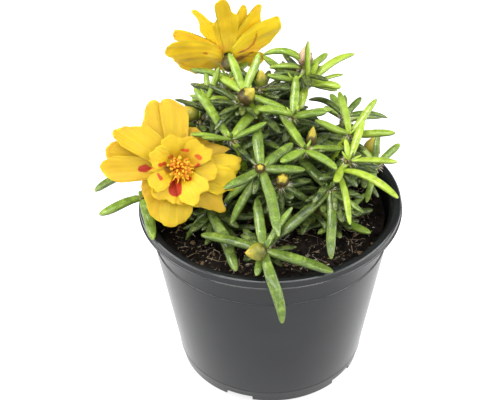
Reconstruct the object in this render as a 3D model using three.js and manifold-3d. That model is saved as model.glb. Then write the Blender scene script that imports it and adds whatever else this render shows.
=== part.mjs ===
// A potted portulaca (moss rose): a round black nursery pot filled with peat, leafy succulent
// shoots, green buds and two semi-double yellow flowers. Millimetres, +Z up. The pot stands on
// z = 0, and the origin is under the middle of the whole plant's box.
import * as THREE from "three";
import { mergeVertices } from "three/addons/utils/BufferGeometryUtils.js";
import Module from "manifold-3d";

const wasm = await Module();
wasm.setup();

// ---- Driving dimensions ----------------------------------------------------------------

// The pot, in the pot's own frame: its axis is x = 0, y = 0.
const POT_HEIGHT = 88;
const RIM_RADIUS = 60;
const RIM_WIDTH = 4;
const RIM_DROP = 3.8;
const RIM_THICKNESS = 1.2;
const WALL = 1.2;
const RIM_EDGE = 0.5;
const NECK_RADIUS = 55.4;
const NECK_DROP = 1.8;
const SHOULDER_HEIGHT = 70.2;
const SHOULDER_RADIUS = 53.8;
const SHOULDER_STEP = 0.7;
const HEEL_HEIGHT = 6.5;
const HEEL_RADIUS = 43.8;
const FOOT_RADIUS = 42;
const FOOT_WIDTH = 2.4;
const FLOOR_HEIGHT = 3.4;
const POT_SIDES = 48;
const NOTCH_COUNT = 5;
const FIRST_NOTCH = -110;
const NOTCH_WIDTH = 13;
const NOTCH_DEPTH = 14;
const NOTCH_HEIGHT = 2.6;
const DRAIN_RADIUS = 36;
const DRAIN_SIZE = 6;

// Where the pot's axis stands in the frame of the whole part, whose origin is under the middle
// of the plant's box.
const POT_AXIS = [8.8, -1.9];

// Pieces that touch keep this gap, and cuts leave nothing finer than this.
const GAP = 0.3;
const FINEST_DETAIL = 0.12;

const SOIL_HEIGHT = 79;
const SOIL_ROUGHNESS = 0.8;
const SOIL_WAVES = [0.23, 0.19, 0.11, 0.31];
const SOIL_SIDES = 28;
const SOIL_RINGS = 4;
const ROOT_DEPTH = 14;

const STEM_RADIUS = 1.7;
const STEM_TIP_RADIUS = 1.25;
const STEM_BEND = 0.4;
const STEM_LEAN = 58;
const BRANCH_SHARE = 0.42;
const BRANCH_RISE = 50;
const BRANCH_RADIUS = 1.4;
const STEM_SIDES = 6;
const BUD_SIDES = 8;
const LEAF_SIDES = 6;
const LEAF_FLATNESS = 0.74;
const LEAF_PROFILE = [[0, 0], [0.03, 0.5], [0.4, 0.95], [0.8, 0.85], [1, 0]];
const BUD_PROFILE = [[0, 0], [0.02, 0.45], [0.2, 0.9], [0.5, 1], [0.8, 0.6], [1, 0]];

// The leaves that fill the stems below their tips.
const FILL_START = 9;
const FILL_SPACING = 5.5;
const FILL_RISE = 28;
const FILL_DROOP = 22;
const FILL_LENGTH = 15;
const FILL_WIDTH = 3.6;
const FILL_CLEARANCE = 0.8;
const FILL_LOWEST = 83;
const FILL_SHIFTS = [0, 60, -60, 120, -120];

// Where along a stem, a leaf and a bud the beads lie that keep the filling leaves clear of them.
const STEM_BEADS = [0.3, 0.4, 0.5, 0.6, 0.7, 0.8, 0.9, 1];
const LEAF_BEADS = [0.45, 0.6, 0.8, 0.95];
const BUD_BEADS = [0.2, 0.5, 0.8];
const PETAL_BEADS = [0.4, 0.7, 1];
const PETAL_BEAD_RADIUS = 1.2;

const PETAL_THICKNESS = 0.5;
const PETAL_LAYER = 0.95;
const PETAL_ROWS = 5;
const PETAL_COLUMNS = 4;
const PETAL_FOOT = 0.1;
const PETAL_SWELL = [0.72, 0.8];
const PETAL_ROUNDING = 0.2;
const PETAL_NOTCH = 0.07;
const PETAL_NOTCH_WIDTH = 0.25;
const CALYX_DEPTH = 7;
const CALYX_RADIUS = 3.4;
const CALYX_SIDES = 10;
const COLUMN_RADIUS = 1.9;
const COLUMN_SPARE = 2;
const CUSHION_HEIGHT = 1.6;
const CUSHION_SIDES = 8;
const STAMEN_COUNT = 10;
const STAMEN_LENGTH = 5;
const STAMEN_RADII = [0.6, 0.35];
const STAMEN_LEAN = [12, 46];

// Leaves and stamens follow each other a golden turn apart.
const GOLDEN_TURN = 137.5;

const rad = THREE.MathUtils.degToRad;
const point = (x, y, z) => new THREE.Vector3(x, y, z);

// ---- Materials -------------------------------------------------------------------------

const paint = (color, roughness) => new THREE.MeshStandardMaterial({ color, roughness, metalness: 0 });
const POT_PLASTIC = () => paint(0x2e3032, 0.45);
const PEAT = () => paint(0x2a1a10, 1.0);
const LEAF_GREEN = () => paint(0x7fae3c, 0.42);
const BUD_GREEN = () => paint(0xa9a63a, 0.45);
const PETAL_YELLOW = () => paint(0xf6c81e, 0.6);
const STAMEN_ORANGE = () => paint(0xe88b1a, 0.6);

// ---- The plant's plan ------------------------------------------------------------------

// A leaf is [turn, rise, droop, length, width], and for a leaf that grows below the tip of its
// stem, how far below. turn is its compass direction, counted from +X towards +Y, rise its
// slope where it leaves the stem, and droop how far it has bent down by its tip, in degrees.
// A shoot is rooted at foot, and each of its tips ends one of its stems. fill is how many
// leaves grow down that stem below those at the tip, as far as there is room for them.
const SHOOTS = [
  {
    name: "front",
    foot: [-2, -22],
    tips: [{
      end: [-3, -50, 98],
      fill: 2,
      leaves: [
        [-70, -12, 62, 32, 5],
        [-14, -6, 10, 31, 5],
        [157, 6, 15, 29, 4.5],
        [97, 30, 10, 25, 4.5],
        [45, 40, 5, 22, 3],
        [-105, -10, 15, 12, 3.6, 4],
      ],
    }],
  },
  {
    name: "middle",
    foot: [-1, -9],
    tips: [
      {
        end: [-4, -22, 120],
        fill: 3,
        leaves: [
          [95, 27, 10, 22, 4.7],
          [46, 12, 5, 20, 5],
          [-2, 2, 5, 19, 4.7],
          [-142, 0, 10, 20, 4.7],
          [-74, -25, 10, 32, 5],
          [-178, -38, 20, 24, 4.4],
          [-144, -50, 10, 28, 4],
        ],
      },
      {
        end: [5, -24, 113],
        fill: 0,
        leaves: [
          [-120, -76, 5, 25, 4.6],
          [12, -36, 15, 19, 4.4],
        ],
      },
    ],
  },
  {
    name: "right",
    foot: [17, -12],
    tips: [
      {
        end: [34, -16, 120],
        fill: 0,
        leaves: [
          [100, 30, 0, 10, 2.6],
          [70, 22, 0, 22, 3.5],
          [-25, 38, 0, 7, 2],
          [-31, 26, 15, 24, 3.2],
          [-43, 30, 55, 32, 3.7, 7],
          [-105, 12, 10, 12, 3.6, 6],
          [-81, -16, 10, 27, 3, 8],
        ],
      },
      {
        end: [26, -20, 107],
        fill: 1,
        leaves: [
          [130, 22, 15, 22, 4.8],
          [126, 14, 5, 14, 3.5],
          [-90, -23, 15, 32, 4.4],
          [-138, -15, 5, 34, 5],
          [-47, 2, 10, 20, 3],
        ],
      },
      {
        end: [30, -15, 86],
        fill: 0,
        leaves: [
          [-33, 6, 10, 17, 4],
          [-139, 0, 10, 12, 2.8],
          [44, 22, 10, 20, 3],
        ],
      },
    ],
  },
  {
    name: "right_back",
    foot: [24, 6],
    tips: [
      {
        end: [35, 4, 120],
        fill: 3,
        leaves: [
          [103, 26, -10, 21, 3.6],
          [49, 25, 0, 21, 3.4],
          [-17, 14, 3, 21, 4.2],
          [-171, 34, 10, 18, 4.2],
        ],
      },
      {
        end: [34, 28, 113],
        fill: 0,
        leaves: [
          [141, 45, 88, 21, 3.2],
          [88, 30, 0, 11, 2.4],
          [49, 20, 0, 13, 3.2],
          [16, 12, 50, 22, 3],
        ],
      },
      {
        end: [48, 8, 100],
        fill: 2,
        leaves: [
          [165, 50, 5, 14, 3.6],
          [85, 33, 0, 17, 3],
          [38, 25, 5, 15, 3.6],
          [-107, 0, 60, 19, 3.3],
        ],
      },
      { end: [46.2, 23.5, 92.6], branch: 0.5, fill: 0, leaves: [] },
    ],
  },
  {
    name: "back_right",
    foot: [11, 20],
    tips: [
      {
        end: [17, 25, 133],
        fill: 0,
        leaves: [
          [160, 89, 0, 22, 3.4],
          [40, 60, 0, 11, 3],
          [35, 40, 54, 27, 3.8],
          [34, 3, 20, 20, 2.2],
          [-25, 20, 25, 16, 4.4],
          [25, -24, 8, 17, 3],
          [-109, -16, 20, 12, 4, 2],
        ],
      },
      {
        end: [11, 24, 135],
        fill: 0,
        leaves: [
          [137, 14, 0, 20, 3.7],
          [-145, 34, 10, 17, 3.7],
        ],
      },
      {
        end: [15.4, 29.2, 138.1],
        branch: 0.8,
        fill: 0,
        leaves: [
          [168, 88, 150, 20, 3.7],
          [178, 23, 45, 16, 3.2],
          [47, 10, 0, 16, 3.6, 1.5],
        ],
      },
    ],
  },
  {
    name: "centre",
    foot: [10, 5],
    tips: [
      {
        end: [10, 4, 130],
        fill: 3,
        leaves: [
          [85, 27, 0, 20, 4],
          [-32, 26, 5, 18, 4.4],
          [-159, 40, 35, 18, 4.4],
          [24, 0, 15, 20, 3.2],
        ],
      },
      {
        end: [15, -8, 120],
        fill: 2,
        leaves: [
          [123, 29, 10, 22, 4],
          [-45, 10, 25, 19, 4],
          [23, -3, 20, 20, 3.6],
          [-129, 14, 10, 17, 4.5],
        ],
      },
    ],
  },
  {
    name: "back_left",
    foot: [-8, 14],
    tips: [
      {
        end: [-11, 15, 134],
        fill: 5,
        leaves: [
          [113, 29, 5, 22, 4],
          [71, 33, 5, 21, 4],
          [138, 11, 10, 20, 4.4],
          [-27, -5, 0, 20, 3.6],
        ],
      },
      { end: [-4, 21.5, 133], branch: 0.75, fill: 0, leaves: [] },
      { end: [-13.4, 10.1, 132.2], branch: 0.8, fill: 0, leaves: [] },
    ],
  },
  {
    name: "left_centre",
    foot: [-13, -3],
    tips: [{
      end: [-17, -6, 124],
      fill: 4,
      leaves: [
        [128, 25, 0, 30, 4.1],
        [53, 23, 15, 24, 4.8],
        [-3, 34, 5, 18, 3.4],
        [-154, 29, 10, 21, 2.8],
        [-134, 34, 10, 20, 3],
      ],
    }],
  },
  {
    name: "left_back",
    foot: [-22, 14],
    tips: [
      {
        end: [-28, 22, 127],
        fill: 3,
        leaves: [
          [23, 70, 0, 16, 3.6],
          [95, 30, 10, 14, 2.8],
          [144, -8, 10, 11, 2.4],
          [-135, 23, 10, 10, 2.4],
          [-40, 25, 10, 14, 3.6],
        ],
      },
      { end: [-32.5, 13.5, 120.5], branch: 0.6, fill: 0, leaves: [] },
      { end: [-18.5, 25, 129.5], branch: 0.7, fill: 0, leaves: [] },
    ],
  },
  {
    name: "left",
    foot: [-33, -3],
    tips: [
      {
        end: [-57, -10, 95.5],
        fill: 0,
        leaves: [
          [-146, 8, 18, 22, 4.6],
          [-75, -10, 12, 24, 5.2],
        ],
      },
      {
        end: [-56, 4, 103],
        fill: 0,
        leaves: [
          [-156, 2, 36, 26, 4.4],
          [120, 20, 20, 15, 3.6],
        ],
      },
    ],
  },
  {
    name: "left_front",
    foot: [-16, -16],
    tips: [{
      end: [-27, -20, 97],
      fill: 2,
      leaves: [
        [-69, -9, 10, 36, 5.2],
        [-163, -44, 20, 19, 3],
        [-137, 9, 0, 9, 3.4],
      ],
    }],
  },
  {
    name: "under_front_flower",
    foot: [-26, 2],
    tips: [{
      end: [-41.8, -11.6, 111.8],
      lean: 45,
      fill: 4,
      leaves: [
        [150, 5, 20, 18, 3.8],
        [80, 15, 15, 16, 3.8],
        [-155, -10, 20, 16, 3.6],
        [-75, -30, 20, 16, 3.8],
        [10, 0, 20, 15, 3.8],
      ],
    }],
  },
  {
    name: "under_back_flower",
    foot: [-14, 30],
    tips: [
      {
        end: [-19, 33, 131],
        lean: 55,
        fill: 5,
        leaves: [
          [170, 15, 15, 18, 3.6],
          [-60, 10, 20, 14, 3.4],
          [60, 5, 20, 18, 3.6],
        ],
      },
      {
        end: [-34, 44, 108],
        fill: 3,
        leaves: [
          [170, -25, 30, 13, 3.8],
          [110, -15, 20, 14, 4.2],
          [60, 25, 20, 18, 4],
          [-130, 12, 20, 13, 3.6],
          [20, 40, 10, 14, 3.6],
        ],
      },
    ],
  },
  {
    name: "rear",
    foot: [4, 33],
    tips: [{
      end: [4, 52, 106],
      fill: 4,
      leaves: [
        [95, 5, 45, 25, 4.6],
        [150, 20, 25, 22, 4.2],
        [35, 20, 25, 22, 4.2],
        [-160, 40, 10, 15, 3.8],
        [-15, 40, 10, 17, 3.8],
      ],
    }],
  },
  {
    name: "rear_right",
    foot: [22, 30],
    tips: [{
      end: [36, 44, 100],
      fill: 3,
      leaves: [
        [60, -10, 40, 18, 4],
        [110, 20, 25, 20, 4],
        [10, 15, 30, 18, 4],
        [-170, 45, 10, 14, 3.6],
      ],
    }],
  },
];

// A bud, or a flower that hasn't opened or has closed again: the end that it grows from, which
// way it points, its length and its width.
const BUDS = [
  { name: "front", seat: [-1.2, -52.8, 100], turn: 188, rise: -2, length: 9.5, width: 7.8 },
  { name: "middle", seat: [-4.3, -23.6, 120.6], turn: -90, rise: 55, length: 4.5, width: 4.4 },
  { name: "low_middle", seat: [5, -25, 115], turn: -85, rise: 55, length: 6.5, width: 6 },
  { name: "back_left", seat: [-12.9, 10, 132.9], turn: -5, rise: 52, length: 9.5, width: 7.6 },
  { name: "back_right", seat: [15.6, 29.4, 138.9], turn: 85, rise: 75, length: 10, width: 6.8 },
  { name: "yellow", seat: [-4, 22, 133], turn: 90, rise: 75, length: 8.2, width: 5.4 },
  { name: "left_back", seat: [-18.5, 25, 130], turn: 0, rise: 70, length: 7, width: 4.6 },
  { name: "behind_flower", seat: [-33, 14, 121], turn: 180, rise: 50, length: 9, width: 6.5 },
  { name: "centre", seat: [17.5, -5, 119], turn: 60, rise: 75, length: 10, width: 4.4 },
  { name: "right", seat: [46.3, 23.8, 93], turn: 60, rise: 72, length: 10, width: 8.6 },
];

// A petal is [turn, rise, layer, length, half width]. turn goes round the flower, counted from
// its right as seen from the front, rise is its slope out of the flower's plane, and layer is
// its place in the stack, from the back. The flower faces the way given by turn and rise.
const FLOWERS = [
  {
    name: "front_flower",
    centre: [-40.3, -17.2, 116.3],
    turn: -75,
    rise: 38,
    petals: [
      [45, 2, 0, 18, 9],
      [155, 2, 0, 31, 9],
      [252, 4, 0, 24, 13],
      [12, 4, 1, 24, 9],
      [101, 4, 1, 31, 9],
      [172, 4, 1, 33, 10],
      [308, 4, 1, 28, 9],
      [84, 6, 2, 29, 10],
      [141, 6, 2, 32, 9],
      [352, 6, 2, 27, 11],
      [355, 16, 3, 15, 8],
      [262, 16, 3, 16, 9],
      [172, 16, 3, 15, 8],
      [85, 16, 3, 14, 8],
      [312, 20, 4, 15, 7],
      [217, 20, 4, 14, 7],
      [40, 20, 4, 13, 7],
    ],
  },
  {
    name: "back_flower",
    centre: [-19.2, 40, 137],
    turn: 95,
    rise: 22,
    petals: [
      [-7, 4, 0, 27, 11],
      [191, 4, 0, 18, 8],
      [-90, 6, 0, 17, 9],
      [85, 18, 1, 27, 10],
      [150, 18, 1, 28, 9],
      [12, 20, 2, 26, 6],
      [125, 22, 2, 27, 5],
      [51, 22, 3, 26, 5],
      [108, 24, 3, 24, 5],
      [-50, 28, 4, 15, 7],
      [200, 28, 4, 15, 7],
    ],
  },
];

// ---- Solids ----------------------------------------------------------------------------

// The same closed surface as a manifold solid.
function solidOf(geometry) {
  const bare = geometry.clone();
  bare.deleteAttribute("normal");
  bare.deleteAttribute("uv");
  const merged = mergeVertices(bare, 1e-4);
  const corners = merged.index.array;
  const triVerts = [];
  for (let i = 0; i < corners.length; i += 3) {
    const [a, b, c] = corners.slice(i, i + 3);
    if (a !== b && b !== c && c !== a) triVerts.push(a, b, c);
  }
  const mesh = new wasm.Mesh({
    numProp: 3,
    vertProperties: new Float32Array(merged.attributes.position.array),
    triVerts: new Uint32Array(triVerts),
  });
  return new wasm.Manifold(mesh);
}

function geometryOf(solid) {
  const { vertProperties, triVerts } = solid.getMesh();
  const geometry = new THREE.BufferGeometry();
  geometry.setAttribute("position", new THREE.BufferAttribute(new Float32Array(vertProperties), 3));
  geometry.setIndex(new THREE.BufferAttribute(new Uint32Array(triVerts), 1));
  geometry.computeVertexNormals();
  return geometry;
}

const joined = (solids) => solids.reduce((a, b) => a.add(b));

// The largest piece of what is left of a solid when others are taken away from it.
function clearOf(solid, others) {
  const left = others.reduce((a, b) => a.subtract(b), solid).simplify(FINEST_DETAIL);
  return left.decompose().reduce((a, b) => (a.volume() > b.volume() ? a : b));
}

// A slope and a compass direction, in degrees, as a unit vector.
function heading(turn, rise) {
  const level = Math.cos(rad(rise));
  return point(level * Math.cos(rad(turn)), level * Math.sin(rad(turn)), Math.sin(rad(rise)));
}

// A line that starts at a slope and bends down evenly as it goes.
class DroopingCurve extends THREE.Curve {
  constructor(start, turn, rise, droop, length) {
    super();
    Object.assign(this, { start, turn, rise, droop, length });
  }

  getPoint(t) {
    const slope = this.rise - (this.droop * t) / 2;
    return heading(this.turn, slope).multiplyScalar(this.length * t).add(this.start);
  }
}

// A round bar along a curve. profile gives its radius at shares of its length, and flatness its
// thickness across level, which is a level direction, as a share of its width.
function barAlong(curve, profile, sides, level, flatness = 1) {
  const bar = new THREE.LatheGeometry(profile.map(([t, r]) => new THREE.Vector2(r, t)), sides);
  const corners = bar.attributes.position;
  for (let i = 0; i < corners.count; i++) {
    const t = corners.getY(i);
    const along = curve.getTangent(t);
    const side = level.clone().addScaledVector(along, -level.dot(along)).normalize();
    const out = side.clone().cross(along);
    const corner = curve.getPoint(t);
    corner.addScaledVector(side, corners.getX(i)).addScaledVector(out, corners.getZ(i) * flatness);
    corners.setXYZ(i, ...corner);
  }
  return solidOf(bar);
}

// A ball for each share of a curve's length, to tell quickly whether things are clear.
function beadsAlong(curve, radius, shares) {
  return shares.map((t) => ({ centre: curve.getPoint(t), radius }));
}

const fits = (beads, others) => beads.every((a) => others.every(
  (b) => a.centre.distanceTo(b.centre) > a.radius + b.radius + FILL_CLEARANCE));

// A profile of [radius, height], turned about +Z.
function turned(profile, sides) {
  return new THREE.LatheGeometry(profile.map(([r, z]) => new THREE.Vector2(r, z)), sides).rotateX(rad(90));
}

// ---- Pot and soil ----------------------------------------------------------------------

function potSolid() {
  const shoulder = SHOULDER_RADIUS + SHOULDER_STEP;
  const lipTop = POT_HEIGHT - RIM_THICKNESS;
  const lipInside = RIM_RADIUS - RIM_THICKNESS;
  const profile = [
    [0, FLOOR_HEIGHT],
    [FOOT_RADIUS - FOOT_WIDTH, FLOOR_HEIGHT],
    [FOOT_RADIUS - FOOT_WIDTH, 0],
    [FOOT_RADIUS, 0],
    [HEEL_RADIUS, HEEL_HEIGHT],
    [SHOULDER_RADIUS, SHOULDER_HEIGHT],
    [shoulder, SHOULDER_HEIGHT + RIM_EDGE],
    [NECK_RADIUS, lipTop - NECK_DROP],
    [NECK_RADIUS + NECK_DROP, lipTop],
    [lipInside, lipTop],
    [lipInside, POT_HEIGHT - RIM_DROP],
    [RIM_RADIUS, POT_HEIGHT - RIM_DROP],
    [RIM_RADIUS, POT_HEIGHT - RIM_EDGE],
    [RIM_RADIUS - RIM_EDGE, POT_HEIGHT],
    [RIM_RADIUS - RIM_WIDTH, POT_HEIGHT],
    [NECK_RADIUS - WALL, POT_HEIGHT - NECK_DROP],
    [shoulder - WALL, SHOULDER_HEIGHT + RIM_EDGE],
    [SHOULDER_RADIUS - WALL, SHOULDER_HEIGHT],
    [HEEL_RADIUS - WALL, FLOOR_HEIGHT + WALL],
    [0, FLOOR_HEIGHT + WALL],
  ];
  let pot = solidOf(turned(profile, POT_SIDES));
  for (let i = 0; i < NOTCH_COUNT; i++) {
    const turn = FIRST_NOTCH + (i * 360) / NOTCH_COUNT;
    pot = pot.subtract(block(NOTCH_DEPTH, NOTCH_WIDTH, 2 * NOTCH_HEIGHT, FOOT_RADIUS, turn, 0));
    pot = pot.subtract(block(DRAIN_SIZE, DRAIN_SIZE, 4 * WALL, DRAIN_RADIUS, turn, FLOOR_HEIGHT));
  }
  return pot;
}

// A box centred at a distance from the axis, with its length pointing outwards.
function block(length, width, height, distance, turn, z) {
  const box = new THREE.BoxGeometry(length, width, height);
  return solidOf(box.translate(distance, 0, z).rotateZ(rad(turn)));
}

// How far the soil lies above its mean height.
function soilBump(x, y) {
  const [a, b, c, d] = SOIL_WAVES;
  return SOIL_ROUGHNESS * (Math.sin(a * x + 1) * Math.cos(b * y) + 0.6 * Math.sin(c * x - d * y));
}

function soilSolid() {
  const insideAt = (z) => {
    const share = (z - HEEL_HEIGHT) / (SHOULDER_HEIGHT - HEEL_HEIGHT);
    return HEEL_RADIUS + share * (SHOULDER_RADIUS - HEEL_RADIUS) - WALL - 2 * GAP;
  };
  const bottom = FLOOR_HEIGHT + WALL + GAP;
  const edge = insideAt(SHOULDER_HEIGHT);
  const rings = Array.from({ length: SOIL_RINGS }, (_, i) => edge * (1 - (i + 1) / SOIL_RINGS));
  const profile = [[0, bottom], [insideAt(bottom), bottom], [edge, SHOULDER_HEIGHT]];
  profile.push([edge, SOIL_HEIGHT], ...rings.map((r) => [r, SOIL_HEIGHT]));
  const body = turned(profile, SOIL_SIDES);
  const corners = body.attributes.position;
  for (let i = 0; i < corners.count; i++) {
    const [x, y, z] = [corners.getX(i), corners.getY(i), corners.getZ(i)];
    if (z > SHOULDER_HEIGHT + 1) corners.setZ(i, z + soilBump(x, y));
  }
  return solidOf(body);
}

// ---- Stems and leaves ------------------------------------------------------------------

// A shoot's first stem stands straight up out of the soil and leans over to its tip. Its other
// stems branch off it.
function stemCurve(shoot, tip) {
  const first = shoot.tips[0];
  const branch = tip !== first;
  const root = branch
    ? stemCurve(shoot, first).getPoint(tip.branch ?? BRANCH_SHARE)
    : point(...shoot.foot, SOIL_HEIGHT - ROOT_DEPTH);
  const end = point(...tip.end);
  const turn = THREE.MathUtils.radToDeg(Math.atan2(end.y - root.y, end.x - root.x));
  const reach = root.distanceTo(end) * STEM_BEND;
  const rising = heading(turn, branch ? BRANCH_RISE : 90).multiplyScalar(reach).add(root);
  const arriving = heading(turn, tip.lean ?? STEM_LEAN).multiplyScalar(-reach).add(end);
  const curve = new THREE.CubicBezierCurve3(root, rising, arriving, end);
  curve.level = heading(turn - 90, 0);
  return curve;
}

function stemSolid(shoot, tip, swell) {
  const base = tip === shoot.tips[0] ? STEM_RADIUS : BRANCH_RADIUS;
  const taper = (t) => base + (STEM_TIP_RADIUS - base) * t + swell;
  const profile = [[0, 0], ...[0, 0.2, 0.4, 0.6, 0.8, 1].map((t) => [t, taper(t)]), [1, 0]];
  const curve = stemCurve(shoot, tip);
  return barAlong(curve, profile, STEM_SIDES, curve.level);
}

// Where a leaf runs, from the middle of its stem.
function leafCurve(stem, [turn, rise, droop, length, , below = 0], swell = 0) {
  const start = stem.getPointAt(1 - below / stem.getLength());
  return new DroopingCurve(start, turn, rise, droop, length + swell);
}

function leafSolid(stem, leaf, swell) {
  const profile = LEAF_PROFILE.map(([t, r]) => [t, r && (r * leaf[4]) / 2 + swell]);
  return barAlong(leafCurve(stem, leaf, swell), profile, LEAF_SIDES, heading(leaf[0] - 90, 0), LEAF_FLATNESS);
}

const leafBeads = (stem, leaf) => beadsAlong(leafCurve(stem, leaf), leaf[4] / 2, LEAF_BEADS);

// The leaves down a stem, a golden turn apart, that are clear of everything in beads. They
// join it as they are placed.
function fillLeaves(shoot, tip, beads) {
  const stem = stemCurve(shoot, tip);
  const placed = [];
  for (let i = 0; i < tip.fill; i++) {
    const below = FILL_START + i * FILL_SPACING;
    for (const shift of FILL_SHIFTS) {
      const turn = tip.leaves[0][0] + GOLDEN_TURN * (i + 1) + shift;
      const leaf = [turn, FILL_RISE, FILL_DROOP, FILL_LENGTH, FILL_WIDTH, below];
      const own = leafBeads(stem, leaf);
      if (own.some((bead) => bead.centre.z < FILL_LOWEST) || !fits(own, beads)) continue;
      placed.push(leaf);
      beads.push(...own);
      break;
    }
  }
  return placed;
}

function shootSolid(shoot, swell = 0) {
  const parts = shoot.tips.flatMap((tip) => {
    const stem = stemCurve(shoot, tip);
    return [stemSolid(shoot, tip, swell), ...tip.leaves.map((leaf) => leafSolid(stem, leaf, swell))];
  });
  return joined(parts);
}

// ---- Buds ------------------------------------------------------------------------------

function budCurve(bud, swell = 0) {
  const axis = heading(bud.turn, bud.rise);
  const start = point(...bud.seat).addScaledVector(axis, -swell);
  return new THREE.LineCurve3(start, start.clone().addScaledVector(axis, bud.length + 2 * swell));
}

function budSolid(bud, swell = 0) {
  const profile = BUD_PROFILE.map(([t, r]) => [t, r && (r * bud.width) / 2 + swell]);
  return barAlong(budCurve(bud, swell), profile, BUD_SIDES, heading(bud.turn - 90, 0));
}

// ---- Flowers ---------------------------------------------------------------------------

// A flower is made round the origin, with +Z out of its face and +X to its right as seen from
// the front. This places it on the plant.
const FACE = point(0, 0, 1);

function flowerMatrix(flower) {
  const out = heading(flower.turn, flower.rise);
  const right = heading(flower.turn + 90, 0);
  const basis = new THREE.Matrix4().makeBasis(right, out.clone().cross(right), out);
  return basis.setPosition(...flower.centre);
}

const onFlower = (geometry, flower) => geometry.applyMatrix4(flowerMatrix(flower));

// A petal is a thin sheet, narrow at its foot, rounded and a little notched at its tip. It lies
// on a cone round the flower's axis, and the cones of the layers never cross. across goes from
// -1 to 1, along from 0 at the foot to 1 at the tip, and side from -0.5 to 0.5 through the sheet.
function petalPoint([turn, rise, layer, length, half], across, along, side, swell = 0) {
  const notch = PETAL_NOTCH * Math.exp(-((across / PETAL_NOTCH_WIDTH) ** 2)) * along ** 6;
  const share = along * (1 - PETAL_ROUNDING * across ** 2 * along ** 2 - notch);
  const swelling = Math.sin(Math.PI * PETAL_SWELL[0] * along ** PETAL_SWELL[1]);
  const width = (half + swell) * (PETAL_FOOT + (1 - PETAL_FOOT) * swelling);
  const y = COLUMN_RADIUS + GAP - swell + (length + 2 * swell) * share * Math.cos(rad(rise));
  const x = across * width;
  const lift = layer * PETAL_LAYER + PETAL_THICKNESS / 2 + side * (PETAL_THICKNESS + 2 * swell);
  return point(x, y, lift + Math.hypot(x, y) * Math.tan(rad(rise))).applyAxisAngle(FACE, rad(turn - 90));
}

function petalSolid(flower, petal, swell = 0) {
  const sheet = new THREE.BoxGeometry(2, 1, 1, PETAL_COLUMNS, PETAL_ROWS, 1);
  const corners = sheet.attributes.position;
  for (let i = 0; i < corners.count; i++) {
    const [across, along, side] = [corners.getX(i), corners.getY(i) + 0.5, corners.getZ(i)];
    corners.setXYZ(i, ...petalPoint(petal, across, along, side, swell));
  }
  return solidOf(onFlower(sheet, flower));
}

function petalBeads(flower, petal) {
  const spots = PETAL_BEADS.flatMap((along) => [-0.8, 0, 0.8].map((across) => [across, along]));
  return spots.map(([across, along]) => ({
    centre: petalPoint(petal, across, along, 0).applyMatrix4(flowerMatrix(flower)),
    radius: PETAL_BEAD_RADIUS,
  }));
}

// The column stands clear of the flower's last layer of petals.
function columnTop(flower) {
  const layers = flower.petals.map((petal) => petal[2] + 1);
  return Math.max(...layers) * PETAL_LAYER + COLUMN_SPARE;
}

// The green cup under a flower, with the column that its petals grow from.
function calyxSolid(flower, swell) {
  const profile = [
    [0, -CALYX_DEPTH - swell],
    [STEM_TIP_RADIUS + swell, -CALYX_DEPTH - swell],
    [CALYX_RADIUS + swell, -0.4 * CALYX_DEPTH],
    [0.9 * CALYX_RADIUS + swell, -2 * GAP],
    [COLUMN_RADIUS + swell, -GAP],
    [COLUMN_RADIUS + swell, columnTop(flower)],
    [0, columnTop(flower) + swell],
  ];
  return solidOf(onFlower(turned(profile, CALYX_SIDES), flower));
}

// A cushion with a tuft of stamens that spread as they rise.
function stamensSolid(flower) {
  const base = columnTop(flower) + GAP;
  const dome = [[0, 0], [COLUMN_RADIUS, 0], [0.8 * COLUMN_RADIUS, CUSHION_HEIGHT], [0, CUSHION_HEIGHT]];
  const cushion = turned(dome, CUSHION_SIDES).translate(0, 0, base);
  const parts = [solidOf(onFlower(cushion, flower))];
  const [least, most] = STAMEN_LEAN;
  for (let i = 0; i < STAMEN_COUNT; i++) {
    const lean = least + (most - least) * Math.sqrt(i / STAMEN_COUNT);
    const stalk = new THREE.CylinderGeometry(...STAMEN_RADII, STAMEN_LENGTH, 4).rotateX(rad(90));
    stalk.translate(0, 0, STAMEN_LENGTH / 2 + GAP).rotateY(rad(lean)).rotateZ(rad(GOLDEN_TURN * i));
    parts.push(solidOf(onFlower(stalk.translate(0, 0, base), flower)));
  }
  return joined(parts);
}

// ---- The potted plant ------------------------------------------------------------------

const portulaca = new THREE.Group();
const plant = new THREE.Group();
plant.position.set(...POT_AXIS, 0);
portulaca.add(plant);

function addNode(name, solid, material) {
  const mesh = new THREE.Mesh(geometryOf(solid), material);
  mesh.name = name;
  plant.add(mesh);
}

// Every stem, bud, petal and hand-placed leaf as beads, then the leaves that fill the stems.
const beads = [];
for (const shoot of SHOOTS) {
  for (const tip of shoot.tips) {
    const stem = stemCurve(shoot, tip);
    beads.push(...beadsAlong(stem, STEM_RADIUS, STEM_BEADS));
    beads.push(...tip.leaves.flatMap((leaf) => leafBeads(stem, leaf)));
  }
}
for (const bud of BUDS) beads.push(...beadsAlong(budCurve(bud), bud.width / 2, BUD_BEADS));
for (const flower of FLOWERS) beads.push(...flower.petals.flatMap((petal) => petalBeads(flower, petal)));
for (const shoot of SHOOTS) {
  for (const tip of shoot.tips) tip.leaves.push(...fillLeaves(shoot, tip, beads));
}

// Whatever is placed later is cut back by what is already there, and keeps the gap to it.
const placed = [];

function place(name, make, material) {
  const grown = make(GAP);
  const near = placed.filter((other) => boxesMeet(other.boundingBox(), grown.boundingBox()));
  addNode(name, clearOf(make(0), near), material);
  placed.push(grown);
}

function boxesMeet(a, b) {
  return [0, 1, 2].every((axis) => a.min[axis] < b.max[axis] && b.min[axis] < a.max[axis]);
}

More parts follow.
